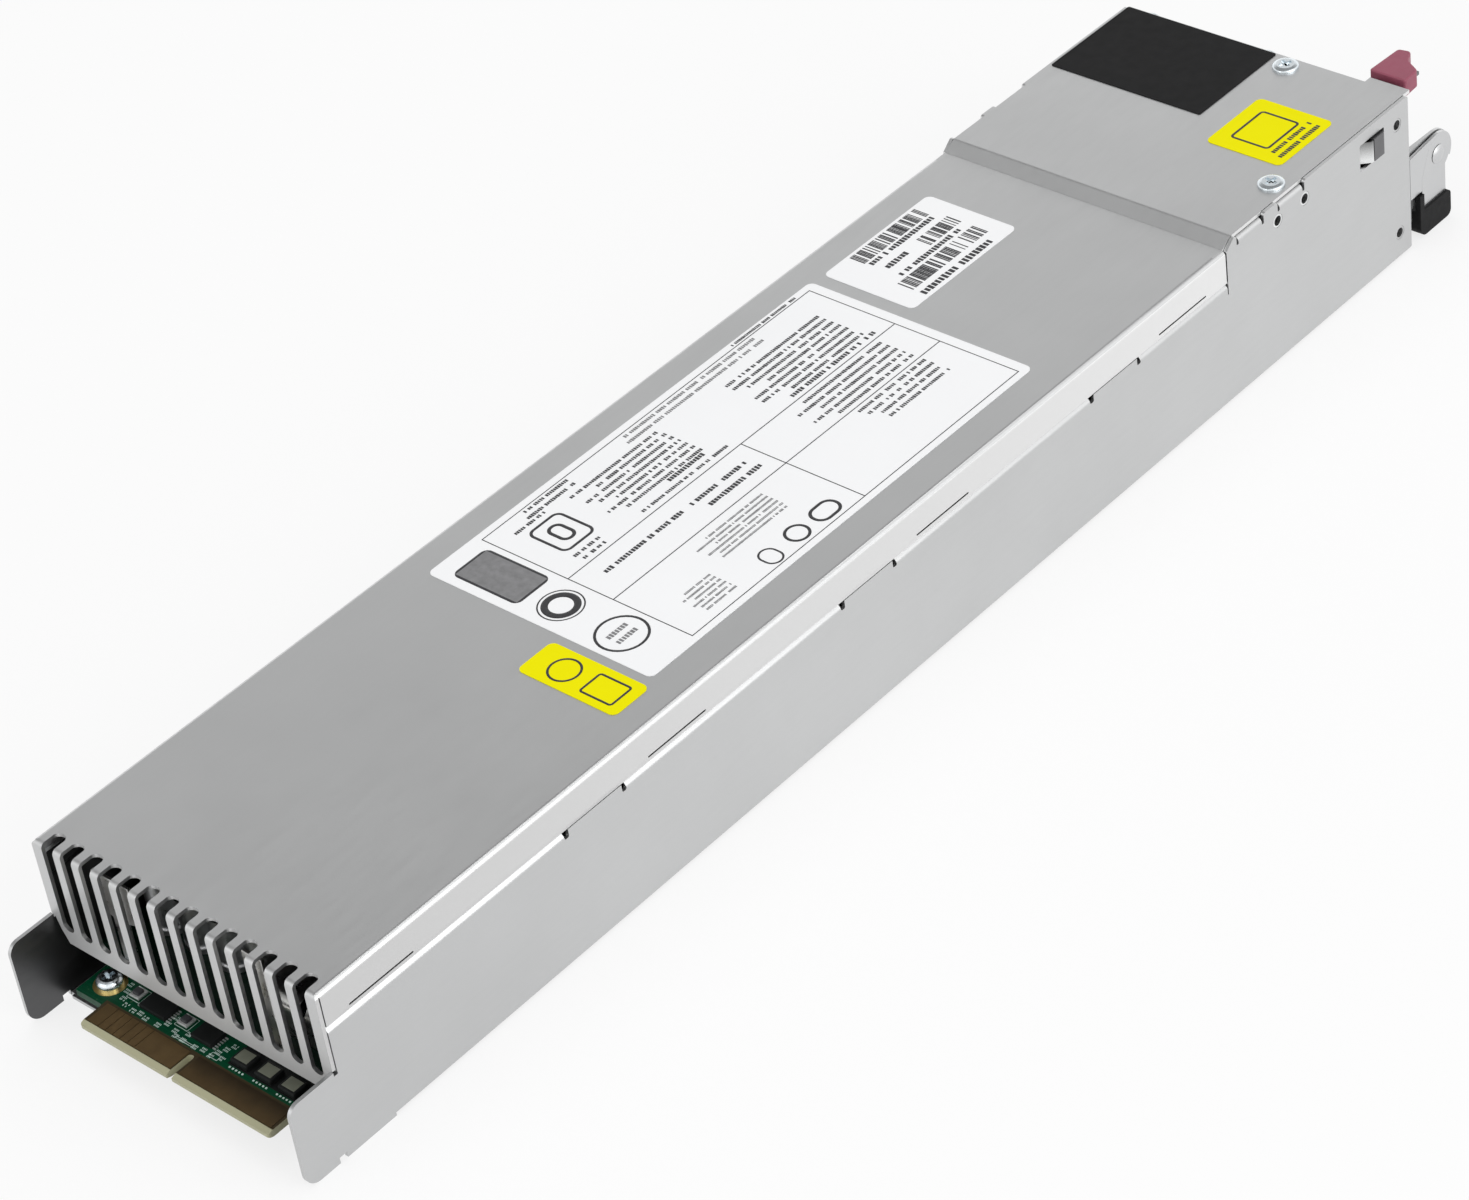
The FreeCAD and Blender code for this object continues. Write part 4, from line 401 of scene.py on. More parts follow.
def make_finishes(colours):
    """The material of every slot in the packed record, and of the pieces made here."""
    steel_relief = dict(mottle=(28.0, 0.025), polish=(900.0, 0.05), relief=(3800.0, 0.006),
                        stretch=(1.0, 0.12, 1.0))
    plastic = dict(mottle=(60.0, 0.10), polish=(700.0, 0.06), relief=(5200.0, 0.03))
    strip = dict(mottle=(40.0, 0.03), polish=(900.0, 0.025), relief=(3000.0, 0.002),
                 stretch=(0.15, 1.0, 1.0))
    paper = dict(polish=(350.0, 0.04), relief=(1800.0, 0.003))
    gloss = {"Coat Weight": 0.35, "Coat Roughness": 0.15}
    return {
        "sheet_steel": finish("Satin sheet steel", colours.sheet, 0.36, 0.92, pattern=inner_shade,
                              **steel_relief),
        "cover_steel": finish("Satin cover steel", colours.sheet, 0.36, pattern=cover_shade,
                              sockets={"Metallic": front_metal}, **steel_relief),
        "spring_steel": finish("Bright spring steel", colours.spring, 0.30, 1.0, **strip),
        "handle_steel": finish("Handle strip steel", colours.handle, 0.30, 1.0, **strip),
        "zinc_steel": finish("Bright zinc", colours.zinc, 0.24, 1.0, (160.0, 0.06),
                             (1500.0, 0.08), (4200.0, 0.01)),
        "black_plastic": finish("Grained black plastic", colours.black, 0.50,
                                sockets={"Specular IOR Level": 0.12}, **plastic),
        "maroon_plastic": finish("Maroon plastic", colours.tab, 0.46, mottle=(70.0, 0.08),
                                 polish=(600.0, 0.06), relief=(4200.0, 0.02),
                                 sockets={"Specular IOR Level": 0.45}),
        "fan_plastic": finish("Fan plastic", (0.022, 0.022, 0.024), 0.42, **plastic),
        "lamp": finish("Lamp lens", (0.62, 0.85, 0.66), 0.16, mottle=(300.0, 0.04),
                       sockets={"Transmission Weight": 0.55, "IOR": 1.5}),
        "brass": finish("Turned brass", (0.62, 0.45, 0.19), 0.30, 1.0, (200.0, 0.05)),
        "tinned_brass": finish("Tinned brass", (0.66, 0.66, 0.64), 0.30, 1.0, (240.0, 0.06)),
        "board": finish("Green solder mask", colours.mask, 0.34, mottle=(90.0, 0.16),
                        polish=(500.0, 0.08), relief=(900.0, 0.02),
                        sockets={"Specular IOR Level": 0.16}, pattern=board_edge),
        "gold": finish("Gold flash", colours.gold, 0.40, 0.70, (260.0, 0.14), (900.0, 0.06),
                       (3000.0, 0.004), (1.0, 0.2, 1.0), pattern=pad_shade),
        "bright_gold": finish("Bright gold ring", (0.62, 0.45, 0.16), 0.30, 0.9, (300.0, 0.08)),
        "latch_steel": finish("Latch spring steel", colours.spring, 0.28, 1.0, (40.0, 0.03),
                              (900.0, 0.03), (3000.0, 0.002), (1.0, 0.3, 1.0), pattern=catch_shade),
        # The latch's catch block is coloured dark grey
        "dark_steel": finish("Dark grey steel", (0.16, 0.16, 0.165), 0.38, 0.8, (200.0, 0.06),
                             (900.0, 0.05)),
        "black_film": finish("Matt black film", colours.film, 0.55, mottle=(38.0, 0.10),
                             polish=(300.0, 0.04), relief=(6000.0, 0.004),
                             sockets={"Specular IOR Level": 0.12}),
        "chip": finish("Moulded epoxy", (0.010, 0.011, 0.011), 0.50, mottle=(500.0, 0.15),
                       polish=(1500.0, 0.06), relief=(7000.0, 0.012),
                       sockets={"Specular IOR Level": 0.20}),
        "lid": finish("Grey package lid", (0.19, 0.20, 0.155), 0.46, mottle=(400.0, 0.10),
                      polish=(1500.0, 0.05), relief=(5000.0, 0.004)),
        "ferrite": finish("Ferrite", (0.045, 0.045, 0.05), 0.62, mottle=(300.0, 0.22),
                          polish=(1500.0, 0.12), relief=(5000.0, 0.05)),
        "copper": finish("Enamelled copper", (0.55, 0.20, 0.075), 0.26, 0.85, (120.0, 0.14),
                         (1200.0, 0.08), (2600.0, 0.01), sockets=gloss),
        "tape": finish("Polyester tape", (0.62, 0.44, 0.035), 0.30, mottle=(70.0, 0.10),
                       polish=(420.0, 0.10), relief=(700.0, 0.05), sockets=gloss),
        "aluminium": finish("Mill aluminium", (0.62, 0.63, 0.64), 0.36, 1.0, (90.0, 0.05),
                            (1200.0, 0.09), (3000.0, 0.01), (1.0, 0.15, 1.0)),
        "can_sleeve": finish("Shrink sleeve", (0.025, 0.032, 0.055), 0.30, mottle=(120.0, 0.12),
                             polish=(600.0, 0.10), relief=(900.0, 0.03), sockets=gloss),
        "box_plastic": finish("Capacitor case", (0.36, 0.31, 0.05), 0.40, **plastic),
        "relay_plastic": finish("Relay case", (0.028, 0.032, 0.036), 0.36, **plastic),
        "header_plastic": finish("Header plastic", (0.66, 0.63, 0.53), 0.42, **plastic),
        "white_paper": finish("White label stock", colours.label, 0.42, mottle=(25.0, 0.012),
                              **paper),
        "yellow_paper": finish("Yellow label stock", colours.yellow, 0.44, mottle=(30.0, 0.02),
                               sockets={"Specular IOR Level": 0.03}, **paper),
        "ink": finish("Printing ink", colours.ink, 0.50, mottle=(600.0, 0.30)),
        "grey_ink": finish("Grey printing ink", (0.20, 0.20, 0.205), 0.50, mottle=(600.0, 0.15)),
        "silk": finish("Silkscreen ink", (0.66, 0.80, 0.74), 0.50, mottle=(900.0, 0.12)),
        "solder": finish("Solder", (0.78, 0.79, 0.78), 0.34, 0.6, (700.0, 0.10), (1800.0, 0.06)),
    }


FINISHES = {}

# CAD nodes that look otherwise than the other nodes of their slot
OWN_LOOKS = {"top_cover": "cover_steel", "latch_catch": "dark_steel", "latch_arm": "latch_steel",
             "output_bars": "tinned_brass", "handle_rivets": "handle_steel",
             "handle_bail": "handle_steel"}


# Geometry Nodes trees

def grower(name, sockets):
    """A Geometry Nodes tree with named inputs, its graph and the outlets of its inputs."""
    tree = bpy.data.node_groups.new(name, "GeometryNodeTree")
    kinds = {float: "NodeSocketFloat", int: "NodeSocketInt", str: "NodeSocketMaterial"}
    tree.interface.new_socket("Geometry", in_out="INPUT", socket_type="NodeSocketGeometry")
    for label, default in sockets.items():
        socket = tree.interface.new_socket(label, in_out="INPUT", socket_type=kinds[type(default)])
        if type(default) is not str:
            socket.default_value = default
    tree.interface.new_socket("Geometry", in_out="OUTPUT", socket_type="NodeSocketGeometry")
    graph = Graph(tree)
    return tree, graph, graph.add("NodeGroupInput").outputs


def close_tree(graph, geometry, material):
    """Ends a tree: its copies made real, and its material set."""
    real = graph.add("GeometryNodeRealizeInstances", {0: geometry}).outputs[0]
    done = graph.add("GeometryNodeSetMaterial", {"Geometry": real, "Material": material})
    graph.add("NodeGroupOutput", {0: done.outputs[0]})


def draw(graph, low, high, seed, number=None):
    """A random number for each element, or for each number, between two values."""
    inputs = {2: low, 3: high, 8: seed}
    if number is not None:
        inputs[7] = number
    return graph.add("FunctionNodeRandomValue", inputs, data_type="FLOAT").outputs[1]


def rounded(graph, wide, long, radius, count):
    """A rectangular path with rounded corners, each of so many points."""
    path = graph.add("GeometryNodeCurvePrimitiveQuadrilateral", {0: wide, 1: long})
    return graph.add("GeometryNodeFilletCurve", {"Curve": path.outputs[0], "Count": count,
                                                 "Radius": radius}, mode="POLY").outputs[0]


def drawn(graph, path, width, sides):
    """A round rod along a path."""
    nib = graph.add("GeometryNodeCurvePrimitiveCircle",
                    {"Resolution": sides, "Radius": graph.math("DIVIDE", width, 2.0)})
    return graph.add("GeometryNodeCurveToMesh", {0: path, 1: nib.outputs[0]}).outputs[0]


def about_z(graph, angle):
    """A turn about the vertical."""
    return graph.add("FunctionNodeEulerToRotation", {0: graph.vector(0.0, 0.0, angle)}).outputs[0]


def lifted(graph, part, height, share, scale=(1.0, 1.0, 1.0)):
    """A part moved up by a share of a height."""
    return graph.add("GeometryNodeTransform", {
        "Geometry": part.outputs[0], "Scale": scale,
        "Translation": graph.vector(0.0, 0.0, graph.times(height, share))})


def tile_tree():
    """Rows of small flat bars: greeked letters, barcode bars, pins, pads and silkscreen marks."""
    tree, graph, given = grower("Rows of bars", {
        "Lines": 1, "Bars": 1, "Line Pitch": 0.002, "Bar Pitch": 0.002, "Bar Width": 0.001,
        "Bar Length": 0.001, "Depth": 0.0001, "Width Spread": 0.0, "Length Spread": 0.0,
        "Kept": 1.0, "Ragged": 0.0, "Seed": 0, "Material": ""})
    across = graph.times(graph.math("SUBTRACT", given["Lines"], 1.0), given["Line Pitch"])
    along = graph.times(graph.math("SUBTRACT", given["Bars"], 1.0), given["Bar Pitch"])
    grid = graph.add("GeometryNodeMeshGrid", {
        "Size X": across, "Size Y": along, "Vertices X": given["Lines"],
        "Vertices Y": given["Bars"]})
    number = graph.add("GeometryNodeInputIndex").outputs[0]
    line = graph.math("FLOOR", graph.math("DIVIDE", number, given["Bars"]))
    place = graph.math("DIVIDE", graph.math("MODULO", number, given["Bars"]), given["Bars"])
    edge = draw(graph, 0.0, given["Ragged"], given["Seed"], line)
    past_edge = graph.math("LESS_THAN", place, edge)
    dropped = graph.math("GREATER_THAN", draw(graph, 0.0, 1.0, given["Seed"]), given["Kept"])
    gone = graph.math("MAXIMUM", past_edge, dropped)
    kept = graph.add("GeometryNodeDeleteGeometry", {"Geometry": grid.outputs[0], "Selection": gone})
    sides = []
    for count, side in enumerate(("Width", "Length"), 1):
        less = draw(graph, 0.0, given[side + " Spread"], graph.math("ADD", given["Seed"], count))
        sides.append(graph.times(given["Bar " + side], graph.math("SUBTRACT", 1.0, less)))
    bar = graph.add("GeometryNodeMeshCube", {"Size": (1.0, 1.0, 1.0)})
    bars = graph.add("GeometryNodeInstanceOnPoints", {
        "Points": kept.outputs[0], "Instance": bar.outputs[0],
        "Scale": graph.vector(*sides, given["Depth"])})
    close_tree(graph, bars.outputs[0], given["Material"])
    return tree


def loop_tree():
    """A ruled outline: a frame with rounded corners, or a ring."""
    tree, graph, given = grower("Ruled outline", {
        "Width": 0.01, "Length": 0.01, "Corner": 0.001, "Rule": 0.0002, "Depth": 0.0001,
        "Material": ""})
    path = rounded(graph, given["Width"], given["Length"], given["Corner"], 8)
    flat = graph.add("GeometryNodeTransform", {
        "Geometry": drawn(graph, path, given["Rule"], 6),
        "Scale": graph.vector(1.0, 1.0, graph.math("DIVIDE", given["Depth"], given["Rule"]))})
    close_tree(graph, flat.outputs[0], given["Material"])
    return tree


def screw_tree():
    """Domed screw heads with a cross recess, one on each point, each stopped at its own angle."""
    tree, graph, given = grower("Cross-recessed screws", {
        "Radius": 0.003, "Height": 0.0013, "Recess": 0.6, "Slot Width": 0.15, "Seed": 0,
        "Material": ""})
    head = graph.add("GeometryNodeMeshCylinder", {
        "Vertices": 40, "Side Segments": 9, "Radius": given["Radius"], "Depth": given["Height"]})
    spot = graph.add("GeometryNodeInputPosition").outputs[0]
    parts = graph.add("ShaderNodeSeparateXYZ", {0: spot})
    rise = graph.math("ADD", graph.math("DIVIDE", parts.outputs[2], given["Height"]), 0.5)
    dome = graph.math("SQRT", graph.math("SUBTRACT", 1.0, graph.math(
        "POWER", graph.times(rise, 0.86), 4.0)))
    shaped = graph.add("GeometryNodeSetPosition", {
        "Geometry": head.outputs[0],
        "Position": graph.vector(graph.times(parts.outputs[0], dome),
                                 graph.times(parts.outputs[1], dome), parts.outputs[2])})
    span = graph.times(graph.times(given["Radius"], given["Recess"]), 2.0)
    slot_width = graph.times(graph.times(given["Radius"], given["Slot Width"]), 2.0)
    cutter = graph.add("GeometryNodeMeshCone", {
        "Vertices": 4, "Radius Top": graph.times(span, 0.5),
        "Radius Bottom": graph.times(span, 0.16), "Depth": given["Height"]})
    slim, other = (graph.add("GeometryNodeMeshCube", {"Size": graph.vector(*size, given["Height"])})
                   for size in ((span, slot_width), (slot_width, span)))
    cross = graph.add("GeometryNodeMeshBoolean", operation="UNION")
    for part in (other, slim):
        graph.tree.links.new(part.outputs[0], cross.inputs[1])
    raised = lifted(graph, cross, given["Height"], 0.45)
    well = lifted(graph, cutter, given["Height"], 0.15, (0.62, 0.62, 1.0))
    cut = graph.add("GeometryNodeMeshBoolean", {0: shaped.outputs[0]}, operation="DIFFERENCE")
    for part in (raised, well):
        graph.tree.links.new(part.outputs[0], cut.inputs[1])
    up = lifted(graph, cut, given["Height"], 0.5)
    angle = draw(graph, 0.0, math.pi / 2, given["Seed"])
    heads = graph.add("GeometryNodeInstanceOnPoints", {
        "Points": given["Geometry"], "Instance": up.outputs[0], "Rotation": about_z(graph, angle)})
    close_tree(graph, heads.outputs[0], given["Material"])
    return tree


def turn_tree():
    """Turns of wire round one half of a ring core."""
    tree, graph, given = grower("Turns on a ring", {
        "Turns": 14, "Ring Radius": 0.0095, "Turn Width": 0.007, "Turn Height": 0.011,
        "Wire": 0.001, "Reach": 2.6, "Material": ""})
    row = graph.add("GeometryNodeMeshLine", {"Count": given["Turns"], "Offset": (0.0, 0.0, 0.0)})
    number = graph.add("GeometryNodeInputIndex").outputs[0]
    share = graph.math("DIVIDE", number, graph.math("SUBTRACT", given["Turns"], 1.0))
    angle = graph.times(graph.math("SUBTRACT", share, 0.5), given["Reach"])
    ring = graph.add("GeometryNodeSetPosition", {
        "Geometry": row.outputs[0],
        "Position": graph.vector(
            graph.times(graph.math("COSINE", angle), given["Ring Radius"]),
            graph.times(graph.math("SINE", angle), given["Ring Radius"]), 0.0)})
    path = rounded(graph, given["Turn Width"], given["Turn Height"],
                   graph.times(given["Wire"], 1.6), 5)
    stood = graph.add("GeometryNodeTransform", {
        "Geometry": drawn(graph, path, given["Wire"], 8), "Rotation": (math.pi / 2, 0.0, 0.0)})
    turns = graph.add("GeometryNodeInstanceOnPoints", {
        "Points": ring.outputs[0], "Instance": stood.outputs[0], "Rotation": about_z(graph, angle)})
    close_tree(graph, turns.outputs[0], given["Material"])
    return tree


TREES = {}


def grown(kind, values, material, place=(0.0, 0.0, 0.0), turn=None, points=()):
    """The plain mesh that a tree gives for these values, turned and moved to its place."""
    host_mesh = bpy.data.meshes.new("host")
    host_mesh.from_pydata([tuple(point) for point in points], [], [])
    host = bpy.data.objects.new("host", host_mesh)
    bpy.context.scene.collection.objects.link(host)
    modifier = host.modifiers.new("Grow", "NODES")
    modifier.node_group = TREES[kind]
    for item in TREES[kind].interface.items_tree:
        if item.in_out == "INPUT" and item.name in values:
            modifier[item.identifier] = values[item.name]
        if item.in_out == "INPUT" and item.name == "Material":
            modifier[item.identifier] = FINISHES[material]
    ready = host.evaluated_get(bpy.context.evaluated_depsgraph_get())
    mesh = bpy.data.meshes.new_from_object(ready)
    host.modifiers.remove(modifier)
    bpy.data.objects.remove(host)
    bpy.data.meshes.remove(host_mesh)
    mesh.transform(Matrix.Translation(place) @ (turn or Matrix.Identity(4)))
    return mesh


def joined(name, meshes, body, replaced=()):
    """One piece from several meshes. It rides on a body, and may stand for CAD nodes."""
    shape = bmesh.new()
    materials = []
    for mesh in meshes:
        start = len(shape.faces)
        shape.from_mesh(mesh)
        shape.faces.ensure_lookup_table()
        for face in shape.faces[start:]:
            material = mesh.materials[face.material_index]
            if material not in materials:
                materials.append(material)
            face.material_index = materials.index(material)
        bpy.data.meshes.remove(mesh)
    whole = bpy.data.meshes.new(name)
    shape.to_mesh(whole)
    shape.free()
    for material in materials:
        whole.materials.append(material)
    piece = bpy.data.objects.new(name, whole)
    bpy.context.scene.collection.objects.link(piece)
    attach(piece, body)
    if replaced:
        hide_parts(*replaced)
    return piece


def softened(shape, soft):
    """Rounds every edge of a shape by so many millimetres."""
    bmesh.ops.bevel(shape, geom=list(shape.edges), offset=soft * MM, segments=2, profile=0.5,
                    affect="EDGES")


def closed(shape, material):
    """The finished mesh of a bmesh, with its faces outward and one material."""
    bmesh.ops.recalc_face_normals(shape, faces=shape.faces)
    mesh = bpy.data.meshes.new("part")
    shape.to_mesh(mesh)
    shape.free()
    mesh.materials.append(FINISHES[material])
    return mesh


def slab(low, high, soft, material):
    """A block between two corners in millimetres, with its edges softened."""
    low, high = Vector(low) * MM, Vector(high) * MM
    shape = bmesh.new()
    bmesh.ops.create_cube(shape, size=1.0)
    bmesh.ops.scale(shape, vec=high - low, verts=shape.verts)
    bmesh.ops.translate(shape, vec=(low + high) / 2, verts=shape.verts)
    softened(shape, soft)
    return closed(shape, material)


def plate(outline, push, soft, material):
    """A flat plate: an outline in millimetres pushed along a vector, with its edges softened."""
    shape = bmesh.new()
    face = shape.faces.new([shape.verts.new(Vector(point) * MM) for point in outline])
    pushed = bmesh.ops.extrude_face_region(shape, geom=[face])["geom"]
    bmesh.ops.translate(shape, vec=Vector(push) * MM,
                        verts=[part for part in pushed if isinstance(part, bmesh.types.BMVert)])
    softened(shape, soft)
    return closed(shape, material)


def disc(middle, radius, height, material):
    """A thin round disc that stands on a point in millimetres."""
    shape = bmesh.new()
    bmesh.ops.create_cone(shape, cap_ends=True, segments=48, radius1=radius * MM,
                          radius2=radius * MM, depth=height * MM)
    bmesh.ops.translate(shape, vec=Vector(middle) * MM + Vector((0.0, 0.0, height / 2 * MM)),
                        verts=shape.verts)
    return closed(shape, material)


def solid_boxes(node):
    """Lowest and highest corner of each separate solid of a CAD node."""
    shape = bmesh.new()
    shape.from_mesh(NODES[node].data)
    bmesh.ops.remove_doubles(shape, verts=shape.verts, dist=1e-6)
    left = set(shape.verts)
    boxes = []
    while left:
        edge = [left.pop()]
        island = []
        while edge:
            vertex = edge.pop()
            island.append(vertex.co.copy())
            for link in vertex.link_edges:
                other = link.other_vert(vertex)
                if other in left:
                    left.remove(other)
                    edge.append(other)
        low = Vector([min(point[axis] for point in island) for axis in range(3)])
        high = Vector([max(point[axis] for point in island) for axis in range(3)])
        boxes.append((low, high))
    shape.free()
    return sorted(boxes, key=lambda box: (round(box[0].y, 5), round(box[0].x, 5)))


# Pieces

class SUPPLY_OT_finishes(bpy.types.Operator):
    """Gives every CAD node the finish of its slot"""

    bl_idname = "supply.finishes"
    bl_label = "Finishes"

    def execute(self, context):
        FINISHES.update(make_finishes(context.scene.supply_colours))
        for part in frame["record"]["subparts"]:
            for holder in NODES[part["node"]].material_slots:
                holder.material = FINISHES[part["material_slot"]]
        for node, look in OWN_LOOKS.items():
            for holder in NODES[node].material_slots:
                holder.material = FINISHES[look]
        TREES.update(tile=tile_tree(), loop=loop_tree(), screw=screw_tree(), turn=turn_tree())
        return {"FINISHED"}


def screw_heads(context, node, radius, height, seat, turn=None):
    """Screw heads in the places of a CAD node's screws, along Z unless turned. Their seat lies this
    far under the top of the CAD node's heads."""
    sizes = context.scene.supply_fasteners
    spots = []
    for low, high in solid_boxes(node):
        middle = (low + high) / 2
        foot = Vector((middle.x, middle.y, high.z - seat))
        if turn:
            foot = turn.inverted() @ Vector((middle.x, high.y - seat, middle.z))
        spots.append(foot)
    values = {"Radius": radius, "Height": height, "Recess": sizes.recess,
              "Slot Width": sizes.recess_width, "Seed": sizes.seed}
    return grown("screw", values, "zinc_steel", turn=turn, points=spots)


class SUPPLY_OT_screws(bpy.types.Operator):
    """Cross-recessed heads on the cover's, the fan's and the board's screws"""

    bl_idname = "supply.screws"
    bl_label = "Screws"

    def execute(self, context):
        aft = Matrix.Rotation(-math.pi / 2, 4, "X")
        # name, CAD node, radius, height and depth of the seat in millimetres, turn
        groups = (("cover_screw_heads", "cover_screws", 3.0, 0.86, 1.31, None),
                  ("fan_screw_heads", "fan_screws", 2.7, 1.2, 1.2, aft),
                  ("board_screw_heads", "board_screws", 2.7, 2.0, 2.0, None))
        for name, node, radius, height, seat, turn in groups:
            heads = screw_heads(context, node, radius * MM, height * MM, seat * MM, turn)
            joined(name, [heads], "chassis", [node])
        return {"FINISHED"}


class Sticker:
    """Prints on one label, by places and sizes in millimetres, from its lowest corner."""

    def __init__(self, context, node):
        low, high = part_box(node)
        self.corner = Vector((low.x, low.y, high.z))
        self.sizes = context.scene.supply_print

    def printed(self, kind, x, y, values, material="ink"):
        """A print made by a tree."""
        place = self.corner + Vector((x * MM, y * MM, self.sizes.depth / 2))
        return grown(kind, {"Depth": self.sizes.depth, **values}, material, place)

    def text(self, x, y, lines, letters, pitch=1.9, height=1.05, material="ink", ragged=0.25,
             kept=0.86):
        """Greeked text: lines stacked across the label and letters along it."""
        letter = self.sizes.letter
        values = {"Lines": lines, "Bars": letters, "Line Pitch": pitch * MM,
                  "Bar Pitch": letter * LETTER_PITCH * height, "Bar Width": height * MM,
                  "Bar Length": letter * height * LETTER_LONG, "Width Spread": 0.25,
                  "Length Spread": 0.25, "Kept": kept, "Ragged": ragged,
                  "Seed": self.sizes.seed + int(x * 7 + y * 3)}
        return self.printed("tile", x, y, values, material)

    def line(self, x, y, wide, long, radius=0.0, rule=1.0):
        """A ruled outline, by its middle and its size."""
        values = {"Width": wide * MM, "Length": long * MM, "Corner": radius * MM,
                  "Rule": self.sizes.rule * rule}
        return self.printed("loop", x, y, values)

    def bar(self, x, y, wide, long, material="ink"):
        """A filled bar, by its middle and its size."""
        return self.printed("tile", x, y, {"Bar Width": wide * MM, "Bar Length": long * MM},
                            material)

    def barcode(self, x, y, tall, bars, pitch=0.42, kept=0.62):
        """A run of bars of mixed widths."""
        values = {"Lines": 1, "Bars": bars, "Bar Pitch": pitch * MM, "Bar Width": tall * MM,
                  "Bar Length": pitch * 0.98 * MM, "Length Spread": 0.55, "Kept": kept,
                  "Seed": self.sizes.seed + int(x * 5)}
        return self.printed("tile", x, y, values)


class SUPPLY_OT_rating_print(bpy.types.Operator):
    """Ruled fields and greeked text on the large label"""

    bl_idname = "supply.rating_print"
    bl_label = "Large label print"

    def execute(self, context):
        label = Sticker(context, "rating_label")
        text, line, bar = label.text, label.line, label.bar
        marks = [
            line(29.8, 64.0, 55.8, 100.5),
            bar(25.2, 64.0, 0.22, 100.5), bar(37.2, 64.0, 0.22, 100.5),
            bar(41.4, 65.3, 32.4, 0.22),
            text(1.0, 98.0, 1, 52, height=0.8),
            text(23.4, 93.0, 1, 44, height=1.25, kept=0.9),
            text(15.6, 93.0, 7, 52, pitch=2.0, height=0.95),
            text(23.2, 47.0, 1, 60, height=0.9),
            text(20.8, 53.5, 1, 14, height=1.25, kept=1.0, ragged=0.0),
            text(13.6, 46.0, 7, 48, pitch=1.95, height=0.95),
            text(4.2, 74.0, 2, 74, pitch=2.0, height=0.95, material="grey_ink"),
            text(4.0, 30.0, 2, 26, pitch=2.0, height=0.95),
            text(22.4, 22.5, 2, 16, pitch=2.0, height=0.95), text(6.4, 22.0, 1, 18, height=0.95),
            text(33.2, 54.0, 1, 20, height=1.35, kept=0.95, ragged=0.1),
            text(30.0, 39.0, 1, 56, height=1.3, kept=0.75),
            text(31.2, 92.0, 5, 54, pitch=2.1, height=0.95),
            text(41.8, 95.5, 4, 42, pitch=2.1, height=0.95),
            text(43.2, 44.0, 6, 58, pitch=1.35, height=0.62, material="grey_ink"),
            text(51.4, 25.0, 6, 26, pitch=1.35, height=0.62, material="grey_ink"),
            line(13.8, 24.2, 10.4, 8.6, radius=1.6, rule=2.0),
            line(13.8, 24.2, 5.6, 3.2, radius=1.5, rule=2.4),
            line(45.7, 6.9, 10.6, 10.6, radius=5.3, rule=1.8),
            text(45.7, 6.9, 2, 7, pitch=2.6, height=1.3, kept=1.0, ragged=0.0,
                 material="grey_ink"),
            line(29.7, 6.9, 9.4, 9.4, radius=4.7, rule=1.0),
            line(29.7, 6.9, 6.6, 6.6, radius=3.3, rule=4.5),
            bar(13.4, 7.2, 16.6, 8.8, material="grey_ink"),
            line(13.4, 7.2, 16.8, 9.0, radius=1.2, rule=3.0),
            line(54.0, 49.0, 5.0, 5.0, radius=2.5, rule=2.0),
            line(54.4, 40.6, 5.2, 4.0, radius=2.0, rule=1.4),
            line(54.0, 57.5, 4.6, 6.6, radius=2.2, rule=2.2),
        ]
        joined("rating_print", marks, "chassis")
        return {"FINISHED"}


class SUPPLY_OT_serial_print(bpy.types.Operator):
    """Plain bars and greeked lines on the small label"""

    bl_idname = "supply.serial_print"
    bl_label = "Small label print"

    def execute(self, context):
        label = Sticker(context, "serial_label")
        marks = [
            label.barcode(2.9, 18.2, 4.2, 54),
            label.text(6.3, 18.6, 1, 23, height=1.5, ragged=0.0, kept=0.96),
            label.barcode(10.7, 25.9, 4.0, 26),
            label.text(10.0, 12.4, 1, 7, height=1.6, ragged=0.0, kept=0.86),
            label.text(14.2, 18.4, 1, 22, height=1.5, ragged=0.0, kept=0.96),
            label.barcode(17.9, 18.0, 4.3, 54, pitch=0.48, kept=0.7),
            label.text(22.6, 17.0, 1, 20, height=1.9, ragged=0.0, kept=0.94),
        ]
        joined("serial_print", marks, "chassis")
        return {"FINISHED"}


class SUPPLY_OT_yellow_print(bpy.types.Operator):
    """Plain outlines on the two yellow stickers"""

    bl_idname = "supply.yellow_print"
    bl_label = "Yellow sticker print"

    def execute(self, context):
        strip, square = Sticker(context, "yellow_strip"), Sticker(context, "yellow_square")
        marks = [
            strip.line(8.0, 5.0, 6.6, 6.6, radius=3.3, rule=1.6),
            strip.line(18.6, 5.0, 8.0, 6.0, radius=0.6, rule=1.6),
            square.line(8.6, 10.0, 9.6, 11.6, radius=0.8, rule=1.8),
            square.text(16.4, 10.0, 2, 20, pitch=2.3, height=1.2, ragged=0.0, kept=0.92),
        ]
        joined("yellow_print", marks, "chassis")
        return {"FINISHED"}


class SUPPLY_OT_cover(bpy.types.Operator):
    """The cover with the slots of the vent at their full width"""

    bl_idname = "supply.cover"
    bl_label = "Vented cover"

    def execute(self, context):
        sheet = NODES["top_cover"].data.copy()
        for vertex in sheet.vertices:
            spot = vertex.co
            middle = (math.floor(spot.x / SLOT_PITCH) + 0.5) * SLOT_PITCH
            if (abs(spot.x - middle) > SLOT_HALF or spot.y > COVER_FRONT + SLOT_REACH
                    or spot.z < SLOT_LOW):
                continue
            spot.x = middle + (spot.x - middle) * SLOT_SPREAD
            if spot.y > COVER_FRONT + SLOT_REACH / 2:
                spot.y += SLOT_LONGER
        joined("cover_sheet", [sheet], "chassis", ["top_cover"])
        return {"FINISHED"}


